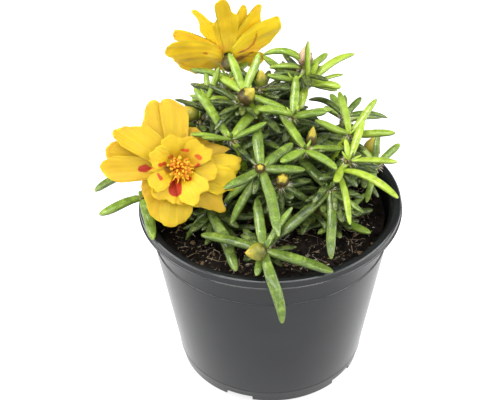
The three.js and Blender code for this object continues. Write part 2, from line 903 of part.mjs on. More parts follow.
for (const flower of FLOWERS) {
  place(`${flower.name}_calyx`, (swell) => calyxSolid(flower, swell), BUD_GREEN());
  place(`${flower.name}_stamens`, () => stamensSolid(flower), STAMEN_ORANGE());
  flower.petals.forEach((petal, i) => {
    place(`${flower.name}_petal_${i + 1}`, (swell) => petalSolid(flower, petal, swell), PETAL_YELLOW());
  });
}
for (const bud of BUDS) place(`bud_${bud.name}`, (swell) => budSolid(bud, swell), BUD_GREEN());
for (const shoot of SHOOTS) {
  place(`shoot_${shoot.name}`, (swell) => shootSolid(shoot, swell), LEAF_GREEN());
}
place("soil", () => soilSolid(), PEAT());
addNode("pot", potSolid(), POT_PLASTIC());

export default portulaca;
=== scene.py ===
"""The looks of a potted portulaca: a black nursery pot of peat, fleshy leafy shoots, buds and
two yellow flowers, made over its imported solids. The plan below is in millimetres in the pot's
own frame, whose axis is x = 0, y = 0. What is made is in metres in the row frame, +Z up."""

import math
import random

import bpy
import numpy as np
from mathutils import Matrix, Vector, noise


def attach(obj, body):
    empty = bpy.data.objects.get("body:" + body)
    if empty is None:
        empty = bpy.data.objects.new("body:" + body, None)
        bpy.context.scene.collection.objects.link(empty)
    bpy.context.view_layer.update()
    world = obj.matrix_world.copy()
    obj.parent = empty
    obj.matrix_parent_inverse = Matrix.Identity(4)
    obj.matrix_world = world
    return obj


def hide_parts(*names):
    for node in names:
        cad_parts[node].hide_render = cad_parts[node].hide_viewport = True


bl_info = {
    "name": "Potted Portulaca",
    "version": (1, 0, 0),
    "blender": (4, 5, 0),
    "location": "View3D > Sidebar > Portulaca",
    "description": "Makes a portulaca in its nursery pot over the packed solids",
    "category": "Add Mesh",
}

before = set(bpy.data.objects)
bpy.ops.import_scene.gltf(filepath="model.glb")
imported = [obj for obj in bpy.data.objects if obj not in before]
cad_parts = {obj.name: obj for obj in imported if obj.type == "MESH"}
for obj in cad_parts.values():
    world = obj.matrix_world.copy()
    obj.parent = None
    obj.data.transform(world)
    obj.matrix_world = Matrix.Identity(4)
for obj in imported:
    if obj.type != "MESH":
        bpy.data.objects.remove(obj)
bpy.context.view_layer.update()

MM = 0.001
POT_AXIS = np.array([8.8, -1.9, 0.0])
GOLDEN_TURN = 137.5

# ---- The plant's plan --------------------------------------------------------------------

STEM_BASE_RADIUS = 1.7
STEM_TIP_RADIUS = 1.25
STEM_BEND = 0.4
STEM_LEAN = 58
BRANCH_SHARE = 0.42
BRANCH_RISE = 50
BRANCH_RADIUS = 1.4
SOIL_LEVEL = 79
ROOT_DEPTH = 14

# A leaf is (turn, rise, droop, length, width), and for one that grows below the tip of its stem,
# how far below. turn is its compass direction from +X towards +Y, rise its slope where it
# leaves the stem and droop how far it has bent down by its tip, in degrees. tone is how young
# a tip's leaves look, from 0 for deep bluish green to 1 for bright yellow-green; it is partly
# painted shade, set lower on tips whose leaves lie in shade.
SHOOTS = {
    "front": {"foot": (-2, -22), "tips": [
        {"end": (-3, -50, 98), "fill": 2, "tone": 0.22, "leaves": [
            (-70, -12, 62, 32, 5), (-14, -6, 10, 31, 5), (157, 6, 15, 29, 4.5),
            (97, 30, 10, 25, 4.5), (45, 40, 5, 22, 3), (-105, -10, 15, 12, 3.6, 4),
        ]},
    ]},
    "middle": {"foot": (-1, -9), "tips": [
        {"end": (-4, -22, 120), "fill": 3, "tone": 0.2, "leaves": [
            (95, 27, 10, 22, 4.7), (46, 12, 5, 20, 5), (-2, 2, 5, 19, 4.7), (-142, 0, 10, 20, 4.7),
            (-74, -25, 10, 32, 5), (-178, -38, 20, 24, 4.4), (-144, -50, 10, 28, 4),
        ]},
        {"end": (5, -24, 113), "fill": 0, "tone": 0.05, "leaves": [
            (-120, -76, 5, 25, 4.6), (12, -36, 15, 19, 4.4),
        ]},
    ]},
    "right": {"foot": (17, -12), "tips": [
        {"end": (34, -16, 120), "fill": 0, "tone": 0.95, "leaves": [
            (100, 30, 0, 10, 2.6), (70, 22, 0, 22, 3.5), (-25, 38, 0, 7, 2),
            (-31, 26, 15, 24, 3.2), (-43, 30, 55, 32, 3.7, 7), (-105, 12, 10, 12, 3.6, 6),
            (-81, -16, 10, 27, 3, 8),
        ]},
        {"end": (26, -20, 107), "fill": 1, "tone": 0.2, "leaves": [
            (130, 22, 15, 22, 4.8), (126, 14, 5, 14, 3.5), (-90, -23, 15, 32, 4.4),
            (-138, -15, 5, 34, 5), (-47, 2, 10, 20, 3),
        ]},
        {"end": (30, -15, 86), "fill": 0, "tone": 0.6, "leaves": [
            (-33, 6, 10, 17, 4), (-139, 0, 10, 12, 2.8), (44, 22, 10, 20, 3),
        ]},
    ]},
    "right_back": {"foot": (24, 6), "tips": [
        {"end": (35, 4, 120), "fill": 3, "tone": 0.75, "leaves": [
            (103, 26, -10, 21, 3.6), (49, 25, 0, 21, 3.4), (-17, 14, 3, 21, 4.2),
            (-171, 34, 10, 18, 4.2),
        ]},
        {"end": (34, 28, 113), "fill": 0, "tone": 0.2, "leaves": [
            (141, 45, 88, 21, 3.2), (88, 30, 0, 11, 2.4), (49, 20, 0, 13, 3.2),
            (16, 12, 50, 22, 3),
        ]},
        {"end": (48, 8, 100), "fill": 2, "tone": 0.5, "leaves": [
            (165, 50, 5, 14, 3.6), (85, 33, 0, 17, 3), (38, 25, 5, 15, 3.6),
            (-107, 0, 60, 19, 3.3),
        ]},
        {"end": (46.2, 23.5, 92.6), "branch": 0.5, "fill": 0, "tone": 0.5, "leaves": []},
    ]},
    "back_right": {"foot": (11, 20), "tips": [
        {"end": (17, 25, 133), "fill": 0, "tone": 1.05, "leaves": [
            (160, 89, 0, 22, 3.4), (40, 60, 0, 11, 3), (35, 40, 54, 27, 3.8), (34, 3, 20, 20, 2.2),
            (-25, 20, 25, 16, 4.4), (25, -24, 8, 17, 3), (-109, -16, 20, 12, 4, 2),
        ]},
        {"end": (11, 24, 135), "fill": 0, "tone": 0.5, "leaves": [
            (137, 14, 0, 20, 3.7), (-145, 34, 10, 17, 3.7),
        ]},
        {"end": (15.4, 29.2, 138.1), "branch": 0.8, "fill": 0, "tone": 0.6, "leaves": [
            (168, 88, 150, 20, 3.7), (178, 23, 45, 16, 3.2), (47, 10, 0, 16, 3.6, 1.5),
        ]},
    ]},
    "centre": {"foot": (10, 5), "tips": [
        {"end": (10, 4, 130), "fill": 3, "tone": 0.55, "leaves": [
            (85, 27, 0, 20, 4), (-32, 26, 5, 18, 4.4), (-159, 40, 35, 18, 4.4),
            (24, 0, 15, 20, 3.2),
        ]},
        {"end": (15, -8, 120), "fill": 2, "tone": 0.55, "leaves": [
            (123, 29, 10, 22, 4), (-45, 10, 25, 19, 4), (23, -3, 20, 20, 3.6),
            (-129, 14, 10, 17, 4.5),
        ]},
    ]},
    "back_left": {"foot": (-8, 14), "tips": [
        {"end": (-11, 15, 134), "fill": 5, "tone": 0.72, "leaves": [
            (113, 29, 5, 22, 4), (71, 33, 5, 21, 4), (138, 11, 10, 20, 4.4), (-27, -5, 0, 20, 3.6),
        ]},
        {"end": (-4, 21.5, 133), "branch": 0.75, "fill": 0, "tone": 0.4, "leaves": []},
        {"end": (-13.4, 10.1, 132.2), "branch": 0.8, "fill": 0, "tone": 0.4, "leaves": []},
    ]},
    "left_centre": {"foot": (-13, -3), "tips": [
        {"end": (-17, -6, 124), "fill": 4, "tone": 0.6, "leaves": [
            (128, 25, 0, 30, 4.1), (53, 23, 15, 24, 4.8), (-3, 34, 5, 18, 3.4),
            (-154, 29, 10, 21, 2.8), (-134, 34, 10, 20, 3),
        ]},
    ]},
    "left_back": {"foot": (-22, 14), "tips": [
        {"end": (-28, 22, 127), "fill": 3, "tone": 0.6, "leaves": [
            (23, 70, 0, 16, 3.6), (95, 30, 10, 14, 2.8), (144, -8, 10, 11, 2.4),
            (-135, 23, 10, 10, 2.4), (-40, 25, 10, 14, 3.6),
        ]},
        {"end": (-32.5, 13.5, 120.5), "branch": 0.6, "fill": 0, "tone": 0.4, "leaves": []},
        {"end": (-18.5, 25, 129.5), "branch": 0.7, "fill": 0, "tone": 0.4, "leaves": []},
    ]},
    "left": {"foot": (-33, -3), "tips": [
        {"end": (-57, -10, 95.5), "fill": 0, "tone": 0.45, "leaves": [
            (-146, 8, 18, 22, 4.6), (-75, -10, 12, 24, 5.2),
        ]},
        {"end": (-56, 4, 103), "fill": 0, "tone": 0.4, "leaves": [
            (-156, 2, 36, 26, 4.4), (120, 20, 20, 15, 3.6),
        ]},
    ]},
    "left_front": {"foot": (-16, -16), "tips": [
        {"end": (-27, -20, 97), "fill": 2, "tone": 0.1, "leaves": [
            (-69, -9, 10, 36, 5.2), (-163, -44, 20, 19, 3), (-137, 9, 0, 9, 3.4),
        ]},
    ]},
    "under_front_flower": {"foot": (-26, 2), "tips": [
        {"end": (-41.8, -11.6, 111.8), "lean": 45, "fill": 4, "tone": 0.4, "leaves": [
            (150, 5, 20, 18, 3.8), (80, 15, 15, 16, 3.8), (-155, -10, 20, 16, 3.6),
            (-75, -30, 20, 16, 3.8), (10, 0, 20, 15, 3.8),
        ]},
    ]},
    "under_back_flower": {"foot": (-14, 30), "tips": [
        {"end": (-19, 33, 131), "lean": 55, "fill": 5, "tone": 0.35, "leaves": [
            (170, 15, 15, 18, 3.6), (-60, 10, 20, 14, 3.4), (60, 5, 20, 18, 3.6),
        ]},
        {"end": (-34, 44, 108), "fill": 3, "tone": 0.45, "leaves": [
            (170, -25, 30, 13, 3.8), (110, -15, 20, 14, 4.2), (60, 25, 20, 18, 4),
            (-130, 12, 20, 13, 3.6), (20, 40, 10, 14, 3.6),
        ]},
    ]},
    "rear": {"foot": (4, 33), "tips": [
        {"end": (4, 52, 106), "fill": 4, "tone": 0.5, "leaves": [
            (95, 5, 45, 25, 4.6), (150, 20, 25, 22, 4.2), (35, 20, 25, 22, 4.2),
            (-160, 40, 10, 15, 3.8), (-15, 40, 10, 17, 3.8),
        ]},
    ]},
    "rear_right": {"foot": (22, 30), "tips": [
        {"end": (36, 44, 100), "fill": 3, "tone": 0.6, "leaves": [
            (60, -10, 40, 18, 4), (110, 20, 25, 20, 4), (10, 15, 30, 18, 4),
            (-170, 45, 10, 14, 3.6),
        ]},
    ]},
}

# Gaps in the foliage, as (start, end, radius), which the inner leaves keep clear of.
CLEARINGS = [
    ((22.5, 5, 135.5), (25, 55, 102.5), 5), ((26.5, 5, 137.5), (29, 55, 104.5), 3.5),
    ((24.5, 5, 141.5), (27, 55, 108.5), 4), ((26, 5, 127.5), (29, 55, 93.5), 3),
    ((40.5, 5, 134), (44.5, 55, 100.5), 2.5), ((42.7, 0, 115.7), (44.4, 20, 101.4), 2.4),
    ((44.6, 0, 113.5), (46.3, 20, 99.2), 2.4), ((26, 5, 153.6), (27.5, 35, 134.7), 3),
]

# A bud, or a flower that hasn't opened or has closed again: the end that it grows from, the way
# that it points, its length and width, how far its petals show past its sepals, how brown it has
# turned, from 0 for green to 1 for dark brown, and how far its petals have withered.
BUD_KEYS = ("seat", "turn", "rise", "length", "width", "petals", "brown", "faded")
BUDS = {
    name: dict(zip(BUD_KEYS, bud)) for name, bud in {
        "front": ((-1.2, -52.8, 100), 188, -2, 9.5, 7.8, 0.15, 0.38, 0.0),
        "middle": ((-4.3, -23.6, 120.6), -90, 55, 4.5, 4.4, 0.25, 1.0, 0.0),
        "low_middle": ((5, -25, 115), -85, 55, 6.5, 6, 0.3, 0.8, 0.0),
        "back_left": ((-12.9, 10, 132.9), -5, 52, 9.5, 7.6, 0.42, 0.72, 0.0),
        "back_right": ((15.6, 29.4, 138.9), 85, 75, 10, 6.8, 0.75, 0.3, 1.0),
        "yellow": ((-4, 22, 133), 90, 75, 8.2, 5.4, 0.6, 0.1, 0.0),
        "left_back": ((-18.5, 25, 130), 0, 70, 7, 4.6, 0.4, 0.2, 0.0),
        "behind_flower": ((-33, 14, 121), 180, 50, 9, 6.5, 0.4, 0.35, 0.0),
        "centre": ((17.5, -5, 119), 60, 75, 10, 4.4, 0.5, 0.7, 0.0),
        "right": ((46.3, 23.8, 93), 60, 72, 10, 8.6, 0.85, 0.0, 0.0),
    }.items()
}

# A petal is (rise, layer, tint, ragged, rim). rise is its slope out of the flower's plane, layer
# its place in the stack from the back, and tint how orange and how dark it is: partly its own
# colour and partly painted light, set lower, and so lighter, on petals that lie in shade. ragged
# is how deeply its rim is scalloped, in millimetres. rim is its outline from right to left, as
# (turn, radius) about the flower's axis, where turn is counted from the flower's right as seen
# from its front. A lobe is a second sheet that lies on its petal.
# A stroke is a mark on the petals as (tone, line), where the line's points are (turn, radius,
# half width) and tone goes from 0 for orange to 1 for deep red; a few strokes are painted shade
# along a crease or a fold. A painted shade is olive shade painted into a hollow between petals:
# (turn, radius, size, depth).
FLOWERS = {
    "front": {
        "centre": (-40.3, -17.2, 116.3), "turn": -75, "rise": 38, "top_layer": 4,
        "petals": [
            (2, 0, 0.6, 0.3, [
                (9, 19), (12, 24), (18, 22), (28, 19), (38, 18), (50, 19), (60, 19.5), (67, 18.5),
                (73, 16),
            ]),
            (2, 0, 0.4, 0.15, [
                (143, 26), (147, 29), (151, 31.3), (157, 32), (161, 31.5), (166, 29), (170, 26),
            ]),
            (4, 0.5, 0.5, 0.2, [
                (188, 16), (198, 18), (211, 19.5), (222, 21.5), (234, 23.7), (246, 24.5),
                (256, 24), (266, 22), (276, 19),
            ]),
            (4, 1, 0.1, 0.3, [
                (340, 23.5), (350, 26.5), (355, 27.5), (360, 27.5), (364, 25.5), (368, 22),
                (371, 18),
            ]),
            (4, 1, 0.3, 0.1, [
                (91, 23), (94, 27), (97, 29.5), (102, 31.5), (106, 31), (110, 29.5), (114, 27),
                (119, 25.2), (124, 24),
            ]),
            (4, 1.5, 0.4, 0.2, [
                (160, 28), (163, 30.5), (166, 33), (170, 33.4), (175, 32.2), (180, 30),
                (184, 26.5), (187, 21), (190, 16),
            ]),
            (4, 1.5, 0.5, 0.25, [
                (274, 16), (286, 18.5), (294, 20.5), (301, 23.7), (306, 27.3), (309, 27.5),
                (312, 25), (318, 22.8), (328, 21.5),
            ]),
            (6, 2, 0.3, 0.1, [
                (66, 16), (69, 21), (71, 24), (76, 26.6), (83, 28.6), (90, 30.4), (95, 30),
                (98, 28.2), (100, 25),
            ]),
            (6, 2.5, 0.3, 0.2, [
                (117, 23.5), (126, 25.4), (131, 27.6), (134, 29.8), (139, 31.4), (143, 32.4),
                (146, 31.4), (148, 29), (151, 26),
            ]),
            (6, 2, 0.05, 0.3, [
                (316, 20), (326, 23.4), (332, 26.4), (339, 26), (345, 25), (350, 23), (354, 20),
                (357, 17),
            ]),
            (16, 3, 0.2, 0.3, [
                (318, 10), (325, 14), (334, 15.4), (346, 16), (358, 15.4), (366, 14.2),
                (374, 15.4), (381, 13), (386, 10),
            ]),
            (16, 3, 0.2, 0.35, [
                (194, 11), (201, 14.6), (212, 16), (223, 16.8), (233, 15.6), (245, 15),
                (256, 15.4), (266, 16), (274, 13),
            ]),
            (16, 3.5, 0.15, 0.3, [
                (114, 10), (121, 12.4), (134, 13.6), (146, 14.2), (157, 13.4), (167, 12.2),
                (176, 12.4), (183, 9),
            ]),
            (16, 3, 0.15, 0.4, [
                (44, 10), (52, 13.6), (61, 14.4), (74, 13), (88, 13.8), (103, 14.4), (116, 14),
                (125, 12), (129, 9),
            ]),
            (20, 4, 0.12, 0.25, [
                (254, 10), (262, 14.6), (272, 16.2), (283, 16.8), (291, 16), (297, 14.2),
                (306, 14.8), (316, 14.6), (326, 13), (331, 9),
            ]),
            (20, 4.5, 0.15, 0.3, [
                (179, 9), (185, 13.6), (194, 15.2), (204, 15.4), (215, 14.4), (224, 12), (228, 8),
            ]),
            (20, 4, 0.15, 0.35, [
                (2, 10), (8, 14.2), (21, 15.2), (33, 14), (44, 14.2), (55, 13.2), (66, 11.6),
                (72, 8),
            ]),
        ],
        "lobes": {
            3: [
                (233, 17), (239, 22.4), (247, 25.2), (256, 25.2), (264, 23.6), (272, 21.8),
                (278, 20), (284, 16),
            ],
        },
        "strokes": [
            (1.0, [(248, 5.2, 2.1), (247, 8, 2.9), (248, 9.8, 2.8)]),
            (1.0, [(171, 11, 0.1), (171, 14.4, 1.7), (172, 16.2, 1.4)]),
            (0.6, [(74, 7.9, 0.5), (57, 8.3, 0.7)]),
            (0.5, [(28, 8.9, 0.8), (18, 9.6, 1.0)]),
            (0.7, [(-8, 6.6, 0.4), (1, 8.1, 0.8)]),
            (0.45, [(112, 6.0, 0.8), (124, 6.2, 0.7)]),
            (0.75, [(153, 6.6, 0.7), (163, 8.8, 0.8)]),
            (0.75, [(-174, 10.2, 0.5), (-161, 9.6, 0.9)]),
            (0.8, [(-62, 6.2, 0.9), (-54, 6.3, 1.0)]),
            # Painted shadow along a crease, not a mark.
            (0.2, [(132, 12.4, 0.1), (129, 9.0, 0.25)]),
            (0.1, [(98, 15.8, 0.15), (98, 13.1, 0.15)]),
            (0.15, [(71, 15.0, 0.3), (65, 13.1, 0.3)]),
        ],
        "painted_shades": [
            (174, 5.2, 3.2, 0.6), (54, 6.3, 4.4, 0.3), (10, 7.2, 4.0, 0.3), (112, 6, 4.6, 0.25),
            (250, 3.5, 2.8, 0.3), (305, 5, 3.2, 0.2),
        ],
    },
    "back": {
        "centre": (-19.2, 40, 137), "turn": 95, "rise": 22, "top_layer": 4,
        "petals": [
            (4, 0, 0.0, 0.3, [
                (-57, 15), (-53, 20), (-45, 21.5), (-36, 22.5), (-24, 24.5), (-12, 25), (-4, 26),
                (2, 28), (10, 28.4), (17, 28), (22, 26), (26, 21),
            ]),
            (4, 0, -0.05, 0.2, [
                (184, 15), (192, 17.5), (201, 18), (212, 18.5), (224, 18), (234, 15.5),
            ]),
            (6, 0.5, 0.0, 0.2, [
                (231, 14), (240, 17), (252, 16.5), (265, 16), (280, 16), (295, 15.5), (306, 14),
            ]),
            (18, 1.5, 0.12, 0.15, [
                (61, 15), (68, 16), (74, 17.4), (76, 20), (76, 23), (79, 26), (84, 27.5), (89, 27),
                (93, 24.5), (96, 21.2), (101, 20), (107, 18.5),
            ]),
            (18, 1, -0.15, 0.2, [
                (141, 18), (143, 21.5), (144.5, 24.8), (147, 27.3), (154, 27), (160, 26.5),
                (167, 25.5), (176, 23), (186, 20.5), (198, 18), (212, 16), (226, 13.5),
            ]),
            (20, 2, -0.05, 0.25, [
                (-5, 19), (-2, 22.6), (4, 24.3), (9, 25), (16, 24.5), (19.5, 22.4), (20.5, 19.5),
                (21.5, 16),
            ]),
            (22, 2.5, 0.0, 0.15, [
                (121, 14), (122, 18), (122.5, 21.5), (123.5, 24.5), (126.5, 25.6), (130.5, 24.6),
                (135, 22.5), (139, 20.4), (146, 19), (154, 18),
            ]),
            (22, 3, -0.1, 0.15, [
                (22, 11), (30, 14.2), (39, 16), (44, 18.5), (46, 21.6), (49, 24.2), (53, 24.4),
                (57, 21), (59, 17.6), (62, 15), (68, 13),
            ]),
            (24, 3.5, 0.05, 0.15, [
                (103, 13), (107, 16), (108, 19), (110, 21), (114, 21), (118, 19.8), (122, 18),
                (127, 15.6), (135, 13),
            ]),
            (28, 4, 0.0, 0.3, [(-76, 13), (-64, 14.6), (-50, 15), (-36, 14.6), (-24, 13)]),
            (28, 4.5, 0.0, 0.3, [(174, 13), (186, 14.6), (200, 15), (214, 14.6), (226, 13)]),
        ],
        "lobes": {},
        "strokes": [
            (0.35, [(148, 16, 0.3), (160, 14, 0.5), (179, 12, 0.7), (196, 9, 0.6), (216, 4, 0.8)]),
            (0.35, [(3, 9.6, 0.7), (4, 10.6, 0.9)]),
            # Painted shade along a fold, not a mark.
            (0.05, [
                (-17, 24.5, 0.4), (-25, 22, 0.6), (-35, 18.5, 0.7), (-39, 13.5, 0.6),
                (-30, 8, 0.5), (-5, 3.5, 0.5),
            ]),
            (0.15, [(122, 24.5, 0.5), (124, 21, 0.4)]),
        ],
        "painted_shades": [(206, 6.0, 4.0, 0.8), (60, 4.5, 3.0, 0.3), (-60, 5, 3, 0.5)],
    },
}

PETAL_THICKNESS = 0.3
PETAL_LAYER = 0.95
BASE_SPREAD = 0.42
COLUMN_RADIUS = 1.9
COLUMN_SPARE = 2
GAP = 0.3
CALYX_DEPTH = 7
CALYX_RADIUS = 3.4

# ---- Settings ----------------------------------------------------------------------------


def linear(colour):
    """An sRGB hex colour as linear red, green, blue and alpha."""
    parts = [int(colour[i : i + 2], 16) / 255 for i in (1, 3, 5)]
    return (*(c / 12.92 if c <= 0.04045 else ((c + 0.055) / 1.055) ** 2.4 for c in parts), 1.0)


def colour_property(name, description, colour):
    return bpy.props.FloatVectorProperty(
        name=name, description=description, default=linear(colour), size=4,
        subtype="COLOR", min=0.0, max=1.0,
    )


def length_property(name, description, millimetres):
    return bpy.props.FloatProperty(
        name=name, description=description, default=millimetres * MM, min=0.0,
        unit="LENGTH", subtype="DISTANCE", precision=4,
    )


class PotSettings(bpy.types.PropertyGroup):
    """Sizes and colour of the nursery pot."""

    height: length_property("Height", "From the table to the top of the lip", 88)
    rim_radius: length_property("Rim radius", "To the outer edge of the lip", 60)
    rim_width: length_property("Rim width", "How wide the flat lip is", 4)
    wall: length_property("Wall", "Thickness of the moulded wall", 1.2)
    plastic: colour_property("Plastic", "Colour of the moulded plastic", "#1f2123")


class PeatSettings(bpy.types.PropertyGroup):
    """The peat's surface and what is mixed into it."""

    lump: length_property("Lump height", "How far the surface rises and falls", 1.5)
    crumbs: bpy.props.IntProperty(
        name="Crumbs", description="Loose crumbs lying on the surface", default=2200, min=0
    )
    fibres: bpy.props.IntProperty(
        name="Fibres", description="Pale fibres lying on the surface", default=1300, min=0
    )
    dark: colour_property("Moist peat", "Colour of the moist peat", "#060504")
    light: colour_property("Dry peat", "Colour of its drier crumbs", "#3a2c1e")
    bark: colour_property("Bark", "Colour of the crumbs of bark among them", "#846c50")
    fibre: colour_property("Fibre", "Colour of the fibres", "#ab9474")


class PlantSettings(bpy.types.PropertyGroup):
    """Leaves, stems and buds."""

    inner_leaves: bpy.props.IntProperty(
        name="Inner leaves", description="Leaves tried on each stem, inside the plant",
        default=22, min=0,
    )
    hairs: bpy.props.IntProperty(
        name="Hairs", description="Hairs at each tip", default=60, min=0
    )
    young: colour_property("Young leaf", "Colour of the youngest leaves", "#b4cf3c")
    grown: colour_property("Grown leaf", "Colour of full-grown leaves", "#779a30")
    # The darkest leaf colour also serves as painted shade, on the leaves' undersides and on leaves
    # deep in the plant.
    old_and_shaded: colour_property("Old leaf", "Colour of the oldest leaves", "#1c3418")
    sepal: colour_property("Sepal", "Colour of the green parts of a bud", "#86842c")
    closed: colour_property("Closed petals", "Colour of the petals in a bud", "#b3a234")


class FlowerSettings(bpy.types.PropertyGroup):
    """Petals and stamens."""

    ruffle: length_property("Ruffle", "Height of the folds at the petals' rims", 1.3)
    lemon: colour_property("Inner petal", "Colour of the inner petals", "#d0b41a")
    yellow: colour_property("Outer petal", "Colour of the outer petals", "#bd9b17")
    orange: colour_property("Petal rim", "Colour of the rims", "#b88013")
    red: colour_property("Mark", "Colour of the marks at the petals' feet", "#a81204")
    filaments: bpy.props.IntProperty(
        name="Filaments", description="Stamens in each flower", default=46, min=0
    )


class StageSettings(bpy.types.PropertyGroup):
    """Floor, light and camera."""

    floor: colour_property("Floor", "Colour of the floor", "#7c7c7c")
    sky: bpy.props.FloatProperty(
        name="Surround", description="Brightness of the even light all round", default=0.14, min=0
    )
    glow: bpy.props.FloatProperty(
        name="Floor glow", description="Light that comes up through the floor", default=1.0, min=0
    )
    key: bpy.props.FloatProperty(
        name="Key light", description="Power of the large lamp overhead", default=7.1, min=0,
        unit="POWER",
    )
    elevation: bpy.props.FloatProperty(
        name="Camera elevation", description="How steeply the camera looks down",
        default=math.radians(37.45), subtype="ANGLE",
    )
    distance: length_property("Camera distance", "From the camera to the middle of the rim", 636)
    lens: bpy.props.FloatProperty(
        name="Lens", description="Focal length in millimetres", default=100.8, min=1
    )


# ---- Lines and directions ----------------------------------------------------------------


def heading(turn, rise):
    """A slope and a compass direction, in degrees, as a unit vector."""
    turn, rise = math.radians(turn), math.radians(rise)
    level = math.cos(rise)
    return np.array([level * math.cos(turn), level * math.sin(turn), math.sin(rise)])


def unit(vectors):
    return vectors / np.linalg.norm(vectors, axis=-1, keepdims=True)


def smooth(low, high, value):
    """0 below low, 1 above high, and a smooth step between them."""
    share = np.clip((value - low) / (high - low), 0, 1)
    return share * share * (3 - 2 * share)


def drooping(start, turn, rise, droop, length):
    """A line that starts at a slope and bends down evenly as it goes."""
    east, north = math.cos(math.radians(turn)), math.sin(math.radians(turn))

    def at(share):
        share = np.asarray(share, float)
        slope = np.radians(rise - droop * share / 2)
        level = np.cos(slope)
        way = np.stack([level * east, level * north, np.sin(slope)], -1)
        return start + length * share[..., None] * way

    return at


def straight(start, end):
    return lambda share: start + np.asarray(share, float)[..., None] * (end - start)


def stem_line(shoot, tip):
    """The line of a stem, and a level direction across it. The first stem of a shoot stands
    up out of the soil and leans over to its tip, and the others branch off it."""
    first = shoot["tips"][0]
    branch = tip is not first
    if branch:
        root = stem_line(shoot, first)[0](tip.get("branch", BRANCH_SHARE))
    else:
        root = np.array([*shoot["foot"], SOIL_LEVEL - ROOT_DEPTH], float)
    end = np.array(tip["end"], float)
    turn = math.degrees(math.atan2(end[1] - root[1], end[0] - root[0]))
    reach = np.linalg.norm(end - root) * STEM_BEND
    rising = root + reach * heading(turn, BRANCH_RISE if branch else 90)
    arriving = end - reach * heading(turn, tip.get("lean", STEM_LEAN))

    def at(share):
        t = np.asarray(share, float)[..., None]
        s = 1 - t
        return s**3 * root + 3 * s * s * t * rising + 3 * s * t * t * arriving + t**3 * end

    return at, heading(turn - 90, 0)


def along_by_length(line, steps=200):
    """A line's points by their distance from its end, and its length."""
    points = line(np.linspace(0, 1, steps + 1))
    walked = np.concatenate([[0], np.cumsum(np.linalg.norm(np.diff(points, axis=0), axis=1))])

    def before_end(distance):
        share = np.interp(walked[-1] - distance, walked, np.linspace(0, 1, steps + 1))
        return line(share)

    return before_end, walked[-1]


def leaf_line(stem, leaf):
    turn, rise, droop, length = leaf[:4]
    below = leaf[5] if len(leaf) > 5 else 0
    return drooping(along_by_length(stem)[0](below), turn, rise, droop, length)


# ---- Meshes ------------------------------------------------------------------------------

# The share of a line either side of a point that tells its direction there.
NUDGE = 0.002


class Skin:
    """Points and faces of a piece as they are made, with a place and a paint for each point
    that the materials read, and a material for each face."""

    def __init__(self):
        self.points, self.faces, self.place, self.paint, self.finish = [], [], [], [], []
        self.count = 0

    def add(self, points, faces, place, paint=(0, 0, 0), finish=0):
        points = np.asarray(points, float)
        self.points.append(points)
        self.faces.extend([tuple(c + self.count for c in face) for face in faces])
        self.place.append(np.broadcast_to(place, points.shape))
        self.paint.append(np.broadcast_to(paint, points.shape))
        self.finish.extend([finish] * len(faces))
        self.count += len(points)

    def build(self, name, materials, sharp=None):
        """The piece as an object in the row frame, smooth but for edges over sharp degrees."""
        mesh = bpy.data.meshes.new(name)
        points = (np.concatenate(self.points) + POT_AXIS) * MM
        mesh.from_pydata(points.tolist(), [], self.faces)
        for kind, values in (("place", self.place), ("paint", self.paint)):
            made = mesh.attributes.new(kind, "FLOAT_VECTOR", "POINT")
            made.data.foreach_set("vector", np.concatenate(values).astype(np.float32).ravel())
        for material in materials:
            mesh.materials.append(material)
        mesh.polygons.foreach_set("material_index", self.finish)
        mesh.shade_smooth()
        if sharp:
            mesh.set_sharp_from_angle(angle=math.radians(sharp))
        mesh.validate()
        made = bpy.data.objects.new(name, mesh)
        bpy.context.scene.collection.objects.link(made)
        return made


def seat(made, slot, *nodes):
    """The piece rides on the pot and stands for its CAD nodes, which it hides. Its slot is not
    used.
    """
    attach(made, "root")
    if nodes:
        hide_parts(*nodes)


def ring_faces(rings, sides):
    """The faces between rings of points, closed by the single points before and after them."""
    faces = []
    for j in range(sides):
        k = (j + 1) % sides
        faces.append((0, 1 + k, 1 + j))
        for i in range(rings - 1):
            a, b = 1 + i * sides, 1 + (i + 1) * sides
            faces.append((a + j, a + k, b + k, b + j))
        last = 1 + (rings - 1) * sides
        faces.append((last + j, last + k, 1 + rings * sides))
    return faces


def tube(line, shares, radii, sides, level, above=1.0, below=1.0, twist=0.0, square=1.0):
    """A closed skin along a line, with the given radii between its two end points. above and
    below flatten its upper and lower half, and a square below 1 fills out its corners. Gives
    its points, its faces, and for each point its share along and its height in the section,
    from -1 to 1."""
    shares = np.asarray(shares, float)
    inner = shares[1:-1]
    middle = line(inner)
    ahead = unit(line(inner + NUDGE) - line(inner - NUDGE))
    side = unit(level - (ahead @ level)[:, None] * ahead)
    out = np.cross(side, ahead)
    angle = np.linspace(0, 2 * np.pi, sides, endpoint=False) + np.radians(twist) * inner[:, None]
    across, up = (np.sign(v) * np.abs(v) ** square for v in (np.cos(angle), np.sin(angle)))
    lift = np.where(up > 0, up * above, up * below)
    radii = np.asarray(radii, float)[:, None, None]
    section = across[..., None] * side[:, None] + lift[..., None] * out[:, None]
    rings = middle[:, None] + radii * section
    points = np.concatenate([line(shares[:1]), rings.reshape(-1, 3), line(shares[-1:])])
    along = np.concatenate([shares[:1], np.repeat(inner, sides), shares[-1:]])
    height = np.concatenate([[0], up.ravel(), [0]])
    return points, ring_faces(len(inner), sides), along, height


def circle(radius, height, sides):
    """Points round the axis."""
    angle = np.linspace(0, 2 * np.pi, sides, endpoint=False)
    return np.stack([radius * np.cos(angle), radius * np.sin(angle), 0 * angle + height], -1)


